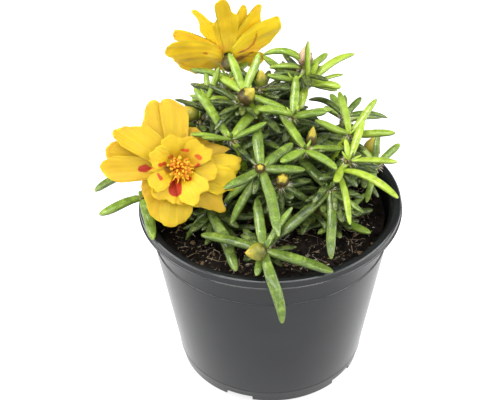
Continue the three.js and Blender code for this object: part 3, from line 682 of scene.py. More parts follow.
def turned(profile, sides):
    """A closed profile of (radius, height), from the axis back to it, turned about the axis."""
    rings = profile[1:-1]
    points = [[0, 0, profile[0][1]]]
    for radius, height in rings:
        points.extend(circle(radius, height, sides))
    points.append([0, 0, profile[-1][1]])
    return np.array(points), ring_faces(len(rings), sides)


# ---- Materials ---------------------------------------------------------------------------

# A painted contact shadow dims the table's glow round the pot's foot: from its axis, in
# millimetres.
FOOT_PAINTED_SHADOW = (42, 47)


def feed(tree, node, sockets):
    """Gives each socket a value, or another node's output as (node, output)."""
    for name, value in sockets.items():
        if isinstance(value, tuple) and isinstance(value[0], bpy.types.Node):
            tree.links.new(value[0].outputs[value[1]], node.inputs[name])
        else:
            node.inputs[name].default_value = value


def add(tree, kind, sockets=None, stops=(), **settings):
    """Adds a node with its sockets, a ramp's stops and its settings. A Mix node of two colours
    takes its share at socket 0 and the colours at 6 and 7, and its Result is output 2."""
    made = tree.nodes.new(kind)
    for name, value in settings.items():
        setattr(made, name, value)
    for i, (position, colour) in enumerate(stops):
        if i == len(made.color_ramp.elements):
            made.color_ramp.elements.new(1.0)
        made.color_ramp.elements[i].position = position
        made.color_ramp.elements[i].color = colour
    feed(tree, made, sockets or {})
    return made


def new_material(name, **shader):
    """A material with one Principled shader, which has these sockets set."""
    made = bpy.data.materials.new(name)
    made.use_nodes = True
    made.node_tree.nodes.clear()
    body = add(made.node_tree, "ShaderNodeBsdfPrincipled", shader)
    add(made.node_tree, "ShaderNodeOutputMaterial", {"Surface": (body, "BSDF")})
    return made, made.node_tree, body


def flesh(weight, radius, millimetres):
    """The shader's sockets for watery flesh that light goes into."""
    return {
        "Subsurface Weight": weight, "Subsurface Radius": radius,
        "Subsurface Scale": millimetres * MM,
    }


def overlaid(tree, under, over, pattern, span, shares, **settings):
    """A colour laid over another, by a share that goes from the first to the second of shares
    as a pattern goes over its span."""
    share = add(tree, "ShaderNodeMapRange", {
        "Value": pattern, "From Min": span[0], "From Max": span[1],
        "To Min": shares[0], "To Max": shares[1],
    }, **settings)
    mix = add(tree, "ShaderNodeMix", {0: (share, "Result"), 6: under, 7: over}, data_type="RGBA")
    return mix, 2


def strand(name, stops, **shader):
    """A material whose colour follows the last number of place."""
    made, tree, body = new_material(name, **shader)
    place = add(tree, "ShaderNodeAttribute", attribute_name="place")
    parts = add(tree, "ShaderNodeSeparateXYZ", {"Vector": (place, "Vector")})
    tone = add(tree, "ShaderNodeValToRGB", {"Fac": (parts, "Z")}, stops=stops)
    feed(tree, body, {"Base Color": (tone, "Color")})
    return made


def per_metre(millimetres):
    """The scale of a pattern, in metres, whose features are about this many millimetres."""
    return 1 / (millimetres * MM)


def pot_plastic(look):
    # Polypropylene with carbon black, injection moulded in a spark-eroded tool: a satin black
    # that greys in a wide soft sheen, with a grain of about 0.4 mm and faint handling scuffs.
    made, tree, body = new_material("Polypropylene, injection moulded satin black", IOR=1.49)
    where = add(tree, "ShaderNodeTexCoord"), "Object"
    cloud = add(tree, "ShaderNodeTexNoise", {
        "Vector": where, "Scale": per_metre(14), "Detail": 3.0,
    })
    dark = tuple(0.72 * c for c in look.plastic[:3]) + (1.0,)
    tone = add(tree, "ShaderNodeValToRGB", {"Fac": (cloud, "Fac")}, stops=[
        (0.3, dark), (0.7, tuple(look.plastic)),
    ])
    stretch = add(tree, "ShaderNodeMapping", {"Vector": where, "Scale": (1.0, 1.0, 0.08)})
    scuffs = add(tree, "ShaderNodeTexNoise", {
        "Vector": (stretch, "Vector"), "Scale": per_metre(2), "Detail": 4.0,
    })
    rough = add(tree, "ShaderNodeMapRange", {
        "Value": (scuffs, "Fac"), "From Min": 0.3, "From Max": 0.7, "To Min": 0.21, "To Max": 0.26,
    })
    grain = add(tree, "ShaderNodeTexNoise", {
        "Vector": where, "Scale": per_metre(0.45), "Detail": 2.0,
    })
    bump = add(tree, "ShaderNodeBump", {
        "Height": (grain, "Fac"), "Strength": 0.05, "Distance": 0.1 * MM,
    })
    feed(tree, body, {
        "Base Color": (tone, "Color"), "Roughness": (rough, "Result"), "Normal": (bump, "Normal"),
    })
    return made


def moist_peat(look):
    # Milled sphagnum peat, pressed in and watered: near black where moist, brown where its
    # crumbs have dried, with fibrous lumps of 0.3 to 3 mm, small wet glints and a few crumbs of
    # paler bark. place holds (0, 0, a crumb's own number).
    made, tree, body = new_material(
        "Sphagnum peat, milled and moist", IOR=1.45, **{"Specular IOR Level": 0.25}
    )
    where = add(tree, "ShaderNodeTexCoord"), "Object"
    lumps = add(tree, "ShaderNodeTexNoise", {
        "Vector": where, "Scale": per_metre(2.2), "Detail": 6.0, "Roughness": 0.7,
    })
    brown = tuple(0.5 * (a + b) for a, b in zip(look.dark, look.light))
    tone = add(tree, "ShaderNodeValToRGB", {"Fac": (lumps, "Fac")}, stops=[
        (0.42, tuple(look.dark)), (0.64, brown), (0.76, tuple(look.light)),
    ])
    wet = add(tree, "ShaderNodeTexNoise", {
        "Vector": where, "Scale": per_metre(1.1), "Detail": 2.0,
    })
    rough = add(tree, "ShaderNodeMapRange", {
        "Value": (wet, "Fac"), "From Min": 0.35, "From Max": 0.6, "To Min": 0.4, "To Max": 0.95,
    })
    bump = add(tree, "ShaderNodeBump", {
        "Height": (lumps, "Fac"), "Strength": 0.9, "Distance": 1.2 * MM,
    })
    place = add(tree, "ShaderNodeAttribute", attribute_name="place")
    parts = add(tree, "ShaderNodeSeparateXYZ", {"Vector": (place, "Vector")})
    bark = add(tree, "ShaderNodeMath", {0: (parts, "Z"), 1: 0.9}, operation="GREATER_THAN")
    strewn = add(tree, "ShaderNodeMix", {
        0: (bark, "Value"), 6: (tone, "Color"), 7: tuple(look.bark),
    }, data_type="RGBA")
    feed(tree, body, {
        "Base Color": (strewn, 2), "Roughness": (rough, "Result"), "Normal": (bump, "Normal"),
    })
    return made


def dry_fibre(look):
    # Coir and sedge fibre, dried: matt strands from dark brown to pale straw. place holds
    # (0, 0, how pale).
    dark = tuple(0.3 * c for c in look.fibre[:3]) + (1.0,)
    stops = [(0.0, dark), (0.6, tuple(look.fibre)), (1.0, linear("#e6dcc6"))]
    return strand("Coir fibre, dried", stops, IOR=1.5, Roughness=0.7)


def leaf_skin(look):
    # Portulaca leaf, grown: a waxy skin over clear watery flesh. It is smooth and glossy, with a
    # soft green glow, fine wrinkles along it that break up the shine, small pale water cells
    # about 0.7 mm apart, paler ends, and painted shade that darkens its underside. Its tone and
    # its gloss vary in patches of a few millimetres. place holds (share along, height in the
    # section, how young, lowered as painted shade on leaves deep in the plant) and paint
    # (millimetres along, millimetres round, a number of its own).
    made, tree, body = new_material(
        "Portulaca leaf, waxy grown skin", IOR=1.45, **flesh(0.12, (0.6, 1.0, 0.15), 0.8),
        **{"Coat Weight": 0.35, "Coat Roughness": 0.07},
    )
    place = add(tree, "ShaderNodeAttribute", attribute_name="place")
    parts = add(tree, "ShaderNodeSeparateXYZ", {"Vector": (place, "Vector")})
    paint = add(tree, "ShaderNodeAttribute", attribute_name="paint")
    where = add(tree, "ShaderNodeTexCoord"), "Object"
    cloud = add(tree, "ShaderNodeTexNoise", {
        "Vector": where, "Scale": per_metre(6), "Detail": 3.0,
    })
    drift = add(tree, "ShaderNodeMapRange", {
        "Value": (cloud, "Fac"), "To Min": -0.3, "To Max": 0.3,
    }, clamp=False)
    age = add(tree, "ShaderNodeMath", {0: (parts, "Z"), 1: (drift, "Result")}, operation="ADD")
    green = add(tree, "ShaderNodeValToRGB", {"Fac": (age, "Value")}, stops=[
        (0.0, tuple(look.old_and_shaded)), (0.5, tuple(look.grown)), (1.0, tuple(look.young)),
    ])
    ends = add(tree, "ShaderNodeValToRGB", {"Fac": (parts, "X")}, stops=[
        (0.0, linear("#808080")), (0.12, linear("#404040")), (0.45, linear("#000000")),
        (0.9, linear("#202020")), (1.0, linear("#707070")),
    ])
    pale = add(tree, "ShaderNodeMix", {
        0: (ends, "Color"), 6: (green, "Color"), 7: linear("#bccb50"),
    }, data_type="RGBA")
    along = add(tree, "ShaderNodeMapping", {"Vector": (paint, "Vector"), "Scale": (0.3, 1.6, 1.0)})
    wrinkles = add(tree, "ShaderNodeTexNoise", {
        "Vector": (along, "Vector"), "Scale": 1.0, "Detail": 3.0,
    })
    streaked = overlaid(
        tree, (pale, 2), linear("#a8be4e"), (wrinkles, "Fac"), (0.35, 0.7), (0.0, 0.3),
    )
    cells = add(tree, "ShaderNodeTexVoronoi", {
        "Vector": where, "Scale": per_metre(0.7), "Randomness": 0.9,
    }, feature="F1")
    speckled = overlaid(
        tree, streaked, linear("#ccdc8a"), (cells, "Distance"), (0.1, 0.34), (0.4, 0.0),
    )
    blotches = add(tree, "ShaderNodeMapping", {
        "Vector": (paint, "Vector"), "Scale": (0.4, 1.0, 1.0),
    })
    patches = add(tree, "ShaderNodeTexNoise", {
        "Vector": (blotches, "Vector"), "Scale": 1.0, "Detail": 4.0, "Roughness": 0.6,
    })
    mottle = add(tree, "ShaderNodeValToRGB", {"Fac": (patches, "Fac")}, stops=[
        (0.34, linear("#cfcfc6")), (0.5, linear("#f4f4ee")), (0.6, linear("#ffffff")),
    ])
    toned = add(tree, "ShaderNodeMix", {
        0: 1.0, 6: speckled, 7: (mottle, "Color"),
    }, data_type="RGBA", blend_type="MULTIPLY")
    mottled = overlaid(
        tree, (toned, 2), linear("#c6da7e"), (patches, "Fac"), (0.5, 0.72), (0.0, 0.28),
    )
    # Painted shade: the underside is laid over with the darkest leaf colour, more the lower it
    # faces.
    painted_shade_below = overlaid(
        tree, mottled, tuple(look.old_and_shaded), (parts, "Y"), (0.35, -0.8), (0.0, 0.8),
        interpolation_type="SMOOTHSTEP",
    )
    sheen = add(tree, "ShaderNodeMapRange", {
        "Value": (patches, "Fac"), "From Min": 0.35, "From Max": 0.65, "To Min": 0.38,
        "To Max": 0.14,
    })
    bump = add(tree, "ShaderNodeBump", {
        "Height": (wrinkles, "Fac"), "Strength": 1.0, "Distance": 0.6 * MM,
    })
    pores = add(tree, "ShaderNodeBump", {
        "Height": (cells, "Distance"), "Strength": 0.45, "Distance": 0.25 * MM,
        "Normal": (bump, "Normal"),
    })
    feed(tree, body, {
        "Base Color": painted_shade_below, "Roughness": (sheen, "Result"),
        "Normal": (pores, "Normal"),
    })
    return made


def stem_skin():
    # Portulaca stem, grown: fleshy and smooth, yellow-green where young and red-brown where it
    # has begun to turn woody near the soil. place holds (share along, height in the section, how
    # young).
    made, tree, body = new_material(
        "Portulaca stem, grown", IOR=1.45, Roughness=0.42, **flesh(0.12, (0.8, 0.8, 0.2), 1)
    )
    place = add(tree, "ShaderNodeAttribute", attribute_name="place")
    parts = add(tree, "ShaderNodeSeparateXYZ", {"Vector": (place, "Vector")})
    where = add(tree, "ShaderNodeTexCoord"), "Object"
    streaks = add(tree, "ShaderNodeTexNoise", {
        "Vector": where, "Scale": per_metre(3), "Detail": 4.0,
    })
    age = add(tree, "ShaderNodeMath", {
        0: (streaks, "Fac"), 1: 0.3, 2: (parts, "Z"),
    }, operation="MULTIPLY_ADD")
    tone = add(tree, "ShaderNodeValToRGB", {"Fac": (age, "Value")}, stops=[
        (0.15, linear("#4a3020")), (0.45, linear("#6a6a2c")), (0.8, linear("#8fae34")),
        (0.846, linear("#b4d23e")),
    ])
    feed(tree, body, {"Base Color": (tone, "Color")})
    return made


def axil_hair():
    # Axil hair, grown and dried: the silvery, straw-coloured bristles at a portulaca's nodes.
    # place holds (0, 0, how pale).
    stops = [(0.0, linear("#b8a47a")), (1.0, linear("#fbf5e6"))]
    return strand("Axil hair, dried", stops, IOR=1.5, Roughness=0.5)


def sepal_skin(look):
    # Portulaca bud, grown: thin green hoods that dry to olive and dark brown from their foot,
    # smooth and a little shiny, over folded petals of a dull yellow, or of a dull pink where
    # they have withered. place holds (share from the hoods' foot to the petals' ends, height in
    # the section, how brown) and paint (how withered, 0, 0).
    made, tree, body = new_material(
        "Portulaca bud, grown sepals and closed petals", IOR=1.45, Roughness=0.4,
        **flesh(0.1, (1.0, 0.8, 0.1), 0.8),
    )
    place = add(tree, "ShaderNodeAttribute", attribute_name="place")
    parts = add(tree, "ShaderNodeSeparateXYZ", {"Vector": (place, "Vector")})
    where = add(tree, "ShaderNodeTexCoord"), "Object"
    blotch = add(tree, "ShaderNodeTexNoise", {
        "Vector": where, "Scale": per_metre(2), "Detail": 4.0,
    })
    wander = add(tree, "ShaderNodeMapRange", {
        "Value": (blotch, "Fac"), "From Min": 0.3, "From Max": 0.7, "To Min": -0.15,
        "To Max": 0.15,
    })
    height = add(tree, "ShaderNodeMath", {0: (parts, "X"), 1: (wander, "Result")}, operation="ADD")
    green = add(tree, "ShaderNodeValToRGB", {"Fac": (height, "Value")}, stops=[
        (0.0, linear("#75852f")), (0.4, tuple(look.sepal)), (0.7, linear("#a79c30")),
        (0.85, tuple(look.closed)), (1.0, linear("#c6b23a")),
    ])
    dryness = add(tree, "ShaderNodeMath", {
        0: (height, "Value"), 1: -0.8, 2: (parts, "Z"),
    }, operation="MULTIPLY_ADD")
    brown = add(tree, "ShaderNodeValToRGB", {"Fac": (blotch, "Fac")}, stops=[
        (0.3, linear("#20160a")), (0.7, linear("#523c14")),
    ])
    living = overlaid(
        tree, (green, "Color"), (brown, "Color"), (dryness, "Value"), (0.0, 0.45), (0.0, 0.95),
        interpolation_type="SMOOTHSTEP",
    )
    paint = add(tree, "ShaderNodeAttribute", attribute_name="paint")
    faded = add(tree, "ShaderNodeSeparateXYZ", {"Vector": (paint, "Vector")})
    withered = add(tree, "ShaderNodeValToRGB", {"Fac": (height, "Value")}, stops=[
        (0.2, linear("#6b5a3a")), (0.4, linear("#b08a72")), (0.75, linear("#c9a58c")),
        (0.95, linear("#dcc98a")),
    ])
    tone = add(tree, "ShaderNodeMix", {
        0: (faded, "X"), 6: living, 7: (withered, "Color"),
    }, data_type="RGBA")
    bump = add(tree, "ShaderNodeBump", {
        "Height": (blotch, "Fac"), "Strength": 0.3, "Distance": 0.2 * MM,
    })
    feed(tree, body, {"Base Color": (tone, 2), "Normal": (bump, "Normal")})
    return made


def petal_skin(look):
    # Portulaca petal, grown: one silky cell layer on each side of a thin watery sheet, so it
    # glows where light comes through it. Fine veins and soft pleats fan out from its foot, and
    # its rim is orange in places. place holds (number and share across, share along, tint, which
    # is partly painted light) and paint (millimetres inside a mark, the mark's tone, depth of the
    # painted olive shade in a hollow).
    made, tree, body = new_material(
        "Portulaca petal, silky grown", IOR=1.4, Roughness=0.55,
        **flesh(0.9, (1.0, 0.88, 0.1), 0.7), **{"Sheen Weight": 0.03, "Sheen Roughness": 0.4},
    )
    place = add(tree, "ShaderNodeAttribute", attribute_name="place")
    parts = add(tree, "ShaderNodeSeparateXYZ", {"Vector": (place, "Vector")})
    paint = add(tree, "ShaderNodeAttribute", attribute_name="paint")
    marks = add(tree, "ShaderNodeSeparateXYZ", {"Vector": (paint, "Vector")})
    where = add(tree, "ShaderNodeTexCoord"), "Object"
    cloud = add(tree, "ShaderNodeTexNoise", {
        "Vector": where, "Scale": per_metre(8), "Detail": 2.0,
    })
    warm = add(tree, "ShaderNodeMath", {
        0: (cloud, "Fac"), 1: 0.5, 2: (parts, "Z"),
    }, operation="MULTIPLY_ADD")
    tint = add(tree, "ShaderNodeMath", {0: (warm, "Value"), 1: -0.15}, operation="ADD")
    # The first and lightest stop is painted light, for petals set low because they lie in shade.
    yellow = add(tree, "ShaderNodeValToRGB", {"Fac": (tint, "Value")}, stops=[
        (0.0, linear("#f2d228")), (0.25, tuple(look.lemon)), (0.75, tuple(look.yellow)),
        (1.0, tuple(look.orange)),
    ])
    fan = add(tree, "ShaderNodeMapping", {"Vector": (place, "Vector"), "Scale": (14.0, 1.2, 1.0)})
    veins = add(tree, "ShaderNodeTexNoise", {
        "Vector": (fan, "Vector"), "Scale": 1.0, "Detail": 3.0,
    })
    veined = overlaid(
        tree, (yellow, "Color"), tuple(look.orange), (veins, "Fac"), (0.4, 0.7), (0.0, 0.14),
    )
    rim = add(tree, "ShaderNodeMapRange", {
        "Value": (parts, "Y"), "From Min": 0.9, "To Max": 0.9,
    }, interpolation_type="SMOOTHSTEP")
    patches = add(tree, "ShaderNodeTexNoise", {
        "Vector": where, "Scale": per_metre(3), "Detail": 2.0,
    })
    broken = add(tree, "ShaderNodeMapRange", {
        "Value": (patches, "Fac"), "From Min": 0.42, "From Max": 0.66, "To Max": 0.75,
    })
    edging = add(tree, "ShaderNodeMath", {
        0: (rim, "Result"), 1: (broken, "Result"),
    }, operation="MULTIPLY")
    rimmed = add(tree, "ShaderNodeMix", {
        0: (edging, "Value"), 6: veined, 7: tuple(look.orange),
    }, data_type="RGBA")
    # Painted shade: olive and brown laid into the hollows between petals, darker where deeper.
    olive = add(tree, "ShaderNodeValToRGB", {"Fac": (marks, "Z")}, stops=[
        (0.0, linear("#e2a026")), (0.5, linear("#b08026")), (1.0, linear("#4a3412")),
    ])
    hollow = overlaid(
        tree, (rimmed, 2), (olive, "Color"), (marks, "Z"), (0.0, 0.5), (0.0, 0.9),
        interpolation_type="SMOOTHSTEP",
    )
    edge = add(tree, "ShaderNodeTexNoise", {
        "Vector": where, "Scale": per_metre(1.5), "Detail": 3.0,
    })
    ragged = add(tree, "ShaderNodeMath", {
        0: (edge, "Fac"), 1: 0.9, 2: (marks, "X"),
    }, operation="MULTIPLY_ADD")
    inside = add(tree, "ShaderNodeMapRange", {
        "Value": (ragged, "Value"), "From Min": 0.2, "From Max": 0.75,
    }, interpolation_type="SMOOTHSTEP")
    stain = add(tree, "ShaderNodeValToRGB", {"Fac": (marks, "Y")}, stops=[
        (0.0, linear("#d48a1c")), (0.3, linear("#b8641a")), (0.6, linear("#cc4a16")),
        (1.0, tuple(look.red)),
    ])
    depth = add(tree, "ShaderNodeMapRange", {
        "Value": (marks, "Y"), "From Max": 0.55, "To Min": 0.3, "To Max": 0.95,
    })
    cover = add(tree, "ShaderNodeMath", {
        0: (inside, "Result"), 1: (depth, "Result"),
    }, operation="MULTIPLY")
    marked = add(tree, "ShaderNodeMix", {
        0: (cover, "Value"), 6: hollow, 7: (stain, "Color"),
    }, data_type="RGBA")
    folded = add(tree, "ShaderNodeMapping", {
        "Vector": (place, "Vector"), "Scale": (4.5, 0.5, 1.0),
    })
    pleats = add(tree, "ShaderNodeTexNoise", {
        "Vector": (folded, "Vector"), "Scale": 1.0, "Detail": 1.0,
    })
    creased = add(tree, "ShaderNodeBump", {
        "Height": (pleats, "Fac"), "Strength": 0.5, "Distance": 1.2 * MM,
    })
    bump = add(tree, "ShaderNodeBump", {
        "Height": (veins, "Fac"), "Strength": 0.25, "Distance": 0.3 * MM,
        "Normal": (creased, "Normal"),
    })
    feed(tree, body, {"Base Color": (marked, 2), "Normal": (bump, "Normal")})
    return made


def pollen_stalk():
    # Portulaca stamens, grown: waxy orange threads that end in dusty yellow anthers. place holds
    # how yellow each point is.
    stops = [
        (0.0, linear("#b8500f")), (0.35, linear("#d97c16")), (0.7, linear("#e8a01c")),
        (1.0, linear("#f2cf30")),
    ]
    glow = flesh(0.2, (1.0, 0.5, 0.05), 0.6)
    return strand("Portulaca stamen, grown", stops, IOR=1.4, Roughness=0.6, **glow)


def floor_card(look):
    # Opal acrylic, cast and sanded matt: a white light table that hides most of the shadows. Its
    # glow is dimmer in front of the pot, which leaves the middle of the pot dark, and dimmest in
    # the narrow gap under the pot's foot, a painted contact shadow.
    made, tree, body = new_material(
        "Opal acrylic, cast and sanded matt", Roughness=0.9, **{
            "Base Color": tuple(look.floor),
            "Specular IOR Level": 0.1,
            "Emission Color": linear("#ffffff"),
        }
    )
    where = add(tree, "ShaderNodeTexCoord"), "Object"
    parts = add(tree, "ShaderNodeSeparateXYZ", {"Vector": where})
    glow = add(tree, "ShaderNodeMapRange", {
        "Value": (parts, "Y"), "From Min": -0.08, "From Max": 0.0,
        "To Min": 0.82 * look.glow, "To Max": 1.35 * look.glow,
    }, interpolation_type="SMOOTHSTEP")
    centred = add(tree, "ShaderNodeMapping", {
        "Vector": where, "Location": tuple(-MM * POT_AXIS), "Scale": (1.0, 1.0, 0.0),
    })
    away = add(tree, "ShaderNodeVectorMath", {0: (centred, "Vector")}, operation="LENGTH")
    # Painted contact shadow: the glow is dimmed close round the pot's foot.
    painted_foot_shadow = add(tree, "ShaderNodeMapRange", {
        "Value": (away, "Value"), "From Min": FOOT_PAINTED_SHADOW[0] * MM, "From Max": FOOT_PAINTED_SHADOW[1] * MM,
        "To Min": 0.7,
    }, interpolation_type="SMOOTHSTEP")
    dimmed = add(tree, "ShaderNodeMath", {
        0: (glow, "Result"), 1: (painted_foot_shadow, "Result"),
    }, operation="MULTIPLY")
    feed(tree, body, {"Emission Strength": (dimmed, "Value")})
    return made


# ---- Pot and peat ------------------------------------------------------------------------

POT_SIDES = 240
FLOOR_HEIGHT = 3.4
SHOULDER_HEIGHT = 70
# The notches in the foot and the drain openings behind them: the turn of the first, and their
# sizes and distances from the axis.
NOTCH_COUNT = 5
FIRST_NOTCH = -110
NOTCH_SIZE, NOTCH_DISTANCE = (14, 13, 5.2), 42
DRAIN_SIZE, DRAIN_DISTANCE = (6, 6, 4.8), 36
# The peat's foot as (radius, height), its radius at the top, and how far from the axis its crumbs
# lie and its fibres start and end.
PEAT_FOOT = (41.8, 4.9)
PEAT_RADIUS = 52.2
CRUMB_REACH = 51
FIBRE_REACH, FIBRE_END_REACH = 49, 51.5


def corner(before, at, after, radius, steps=3):
    """The points of a rounded corner of a profile."""
    before, at, after = (np.array(p, float) for p in (before, at, after))
    start = at + radius * unit(before - at)
    end = at + radius * unit(after - at)
    shares = np.linspace(0, 1, steps + 1)[:, None]
    return ((1 - shares) ** 2 * start + 2 * shares * (1 - shares) * at + shares**2 * end).tolist()


def pot_profile(look):
    """The pot's section as (radius, height, rounding), from the floor's underside outwards. Its
    lip has a bevelled crest and a bead round its lower edge, and the wall ends in a small ledge,
    the shoulder line, where it steps in below the lip."""
    top, rim = look.height / MM, look.rim_radius / MM
    lip, wall = rim - look.rim_width / MM, look.wall / MM
    return [
        (0, FLOOR_HEIGHT, 0), (39.6, FLOOR_HEIGHT, 0.4), (39.6, 0, 0.3), (42.5, 0, 0.5),
        (43.5, 6.1, 0.2), (44.0, 6.3, 0.15), (43.9, 6.9, 0.2), (54.0, 69.8, 0.2),
        (53.55, 70.2, 0.2), (55.0, top - 4.6, 0.5), (56.6, top - 1.3, 0.6),
        (rim - 1.3, top - 1.3, 0.4),
        (rim - 1.2, top - 4.0, 0.3), (rim - 0.1, top - 4.0, 0.1), (rim, top - 3.65, 0.2),
        (rim - 0.65, top - 3.1, 0.2), (rim - 0.6, top - 0.75, 0.1), (rim - 1.35, top, 0.1),
        (lip + 0.2, top - 0.2, 0.6), (54.2, top - 2.2, 0.8), (52.5, 70.8, 0.3), (52.4, 70.0, 0.3),
        (43.8 - wall, FLOOR_HEIGHT + wall, 1.5), (0, FLOOR_HEIGHT + wall, 0),
    ]


def make_pot(look):
    rows = pot_profile(look)
    flat = [(r, z) for r, z, _ in rows]
    profile = [flat[0]]
    for i in range(1, len(rows) - 1):
        profile.extend(corner(flat[i - 1], flat[i], flat[i + 1], rows[i][2]))
    profile.append(flat[-1])
    points, faces = turned(profile, POT_SIDES)
    skin = Skin()
    # The profile runs outwards along the underside first, so its faces are turned round.
    skin.add(points, [face[::-1] for face in faces], (0, 0, 0))
    made = skin.build("nursery_pot", [pot_plastic(look)], sharp=50)
    for i in range(NOTCH_COUNT):
        turn = FIRST_NOTCH + i * 360 / NOTCH_COUNT
        cut_box(made, NOTCH_SIZE, NOTCH_DISTANCE, turn, 0)
        cut_box(made, DRAIN_SIZE, DRAIN_DISTANCE, turn, FLOOR_HEIGHT)
    return made


def cut_box(piece, size, distance, turn, height):
    """Cuts a box out of the pot, at a distance from its axis."""
    bpy.ops.mesh.primitive_cube_add(size=1)
    cutter = bpy.context.object
    place = (distance * heading(turn, 0) + np.array([0, 0, height]) + POT_AXIS) * MM
    cutter.matrix_world = (
        Matrix.Translation(place) @ Matrix.Rotation(math.radians(turn), 4, "Z")
        @ Matrix.Diagonal((*(s * MM for s in size), 1))
    )
    cut = piece.modifiers.new("cut", "BOOLEAN")
    cut.operation, cut.object, cut.solver = "DIFFERENCE", cutter, "EXACT"
    bpy.context.view_layer.objects.active = piece
    bpy.ops.object.modifier_apply(modifier=cut.name)
    bpy.data.objects.remove(cutter)


def soil_height(x, y, lump):
    """How high the peat lies at a point, in millimetres."""
    waves = math.sin(0.23 * x + 1) * math.cos(0.19 * y) + 0.6 * math.sin(0.11 * x - 0.31 * y)
    rough = noise.fractal(Vector((x, y, 3.0)) / 6, 0.8, 2.1, 4) * lump
    return SOIL_LEVEL + 0.8 * waves + rough


def make_peat(look):
    sides, rings = 150, 52
    points = [[0, 0, PEAT_FOOT[1]]]
    for radius, height in (PEAT_FOOT, (PEAT_RADIUS, SHOULDER_HEIGHT)):
        points.extend(circle(radius, height, sides))
    for i in range(rings):
        radius = PEAT_RADIUS * (1 - i / rings)
        for turn in np.linspace(0, 2 * np.pi, sides, endpoint=False):
            x, y = radius * math.cos(turn), radius * math.sin(turn)
            points.append([x, y, soil_height(x, y, look.lump / MM)])
    points.append([0, 0, soil_height(0, 0, look.lump / MM)])
    skin = Skin()
    skin.add(points, [face[::-1] for face in ring_faces(rings + 2, sides)], (0, 0, 0))
    return skin.build("peat_bed", [moist_peat(look)], sharp=60)


def ball():
    """A ball of 42 points, as points and faces."""
    bpy.ops.mesh.primitive_ico_sphere_add(subdivisions=2, radius=1)
    made = bpy.context.object
    points = np.array([v.co for v in made.data.vertices])
    faces = [tuple(p.vertices) for p in made.data.polygons]
    bpy.data.objects.remove(made)
    return points, faces


def make_crumbs(look):
    draw = random.Random(11)
    points, faces = ball()
    skin = Skin()
    for _ in range(look.crumbs):
        radius, turn = CRUMB_REACH * math.sqrt(draw.random()), draw.random() * 2 * math.pi
        x, y = radius * math.cos(turn), radius * math.sin(turn)
        size = 0.25 + 1.2 * draw.random() ** 3
        shape = np.array([size * (0.7 + 0.8 * draw.random()), size, size * 0.75])
        seed = Vector((draw.random() * 50, draw.random() * 50, 0))
        bumps = np.array([1 + 0.5 * noise.noise(Vector(p) * 1.6 + seed) for p in points])
        about = Matrix.Rotation(draw.random() * 6.3, 3, "Z")
        spin = np.array(about @ Matrix.Rotation(draw.random(), 3, "X"))
        lump = (points * bumps[:, None] * shape) @ spin.T
        centre = np.array([x, y, soil_height(x, y, look.lump / MM) + 0.3 * size])
        skin.add(lump + centre, faces, (0, 0, draw.random()))
    return skin.build("peat_crumbs", [moist_peat(look)])


def make_fibres(look):
    draw = random.Random(5)
    skin = Skin()
    for _ in range(look.fibres):
        radius, turn = FIBRE_REACH * math.sqrt(draw.random()), draw.random() * 360
        x, y = radius * math.cos(math.radians(turn)), radius * math.sin(math.radians(turn))
        length = 0.8 + 6 * draw.random() ** 3
        way = draw.random() * 360
        start = np.array([x, y, soil_height(x, y, look.lump / MM) + 0.7])
        if np.hypot(*(start + length * heading(way, 0))[:2]) > FIBRE_END_REACH:
            continue
        bent = drooping(start, way, 20 * draw.random(), 34 * draw.random(), length)
        line = curling(bent, way, draw)
        radii = (0.05 + 0.11 * draw.random() ** 2) * np.array([1, 1.4, 1, 1.2, 0.6])
        shares = (0, 0.1, 0.3, 0.55, 0.8, 0.95, 1)
        points, faces = tube(line, shares, radii, 5, heading(way - 90, 0))[:2]
        skin.add(points, faces, (0, 0, draw.random()))
    return skin.build("peat_fibres", [dry_fibre(look)])


def curling(line, way, draw):
    """A line that also bends sideways."""
    bend, aside = (draw.random() - 0.5) * 1.6, heading(way - 90, 0)
    return lambda share: line(share) + (bend * np.asarray(share, float) ** 2)[..., None] * aside


# ---- Shoots ------------------------------------------------------------------------------

# A leaf that fills a stem below its tip, as (rise, droop, length, width), how far below the tip
# the first one and each next one grow, and the turns that are tried for it.
FILL_LEAF = (28, 22, 15, 3.6)
FILL_FIRST, FILL_STEP = 9, 5.5
FILL_SHIFTS = (0, 60, -60, 120, -120)
# How low it may hang, how clear it keeps of the others and its share of the light.
FILL_LOWEST, FILL_SPARE, FILL_LIGHT = 83, 0.8, 0.7
# The same for an inner leaf, with how far it may reach from the axis and how often it is tried.
INNER_LOWEST, INNER_SPARE, INNER_LIGHT = 84, 0.1, 0.35
INNER_REACH, INNER_TRIES = 50, 12
# How much deeper a leaf's tone is without light, and how far tones are spread at random.
SHADE_DEPTH = 1.3
TONE_SPREAD = 0.24

LEAF_SIDES, STEM_SIDES, BUD_SIDES = 16, 10, 30


def beads_along(line, radius, shares):
    return [(point, radius) for point in line(np.asarray(shares))]


def leaf_beads(stem, leaf):
    return beads_along(leaf_line(stem, leaf), leaf[4] / 2, (0.45, 0.6, 0.8, 0.95))


def fits(own, others, clearance):
    """Whether balls are clear of others, which are given as places and radii in arrays."""
    places, radii = others
    for place, radius in own:
        if np.any(np.linalg.norm(places - place, axis=1) < radii + radius + clearance):
            return False
    return True


def stacked(beads):
    return np.array([b[0] for b in beads]), np.array([b[1] for b in beads])


def lowest(beads):
    return min(place[2] for place, _ in beads)


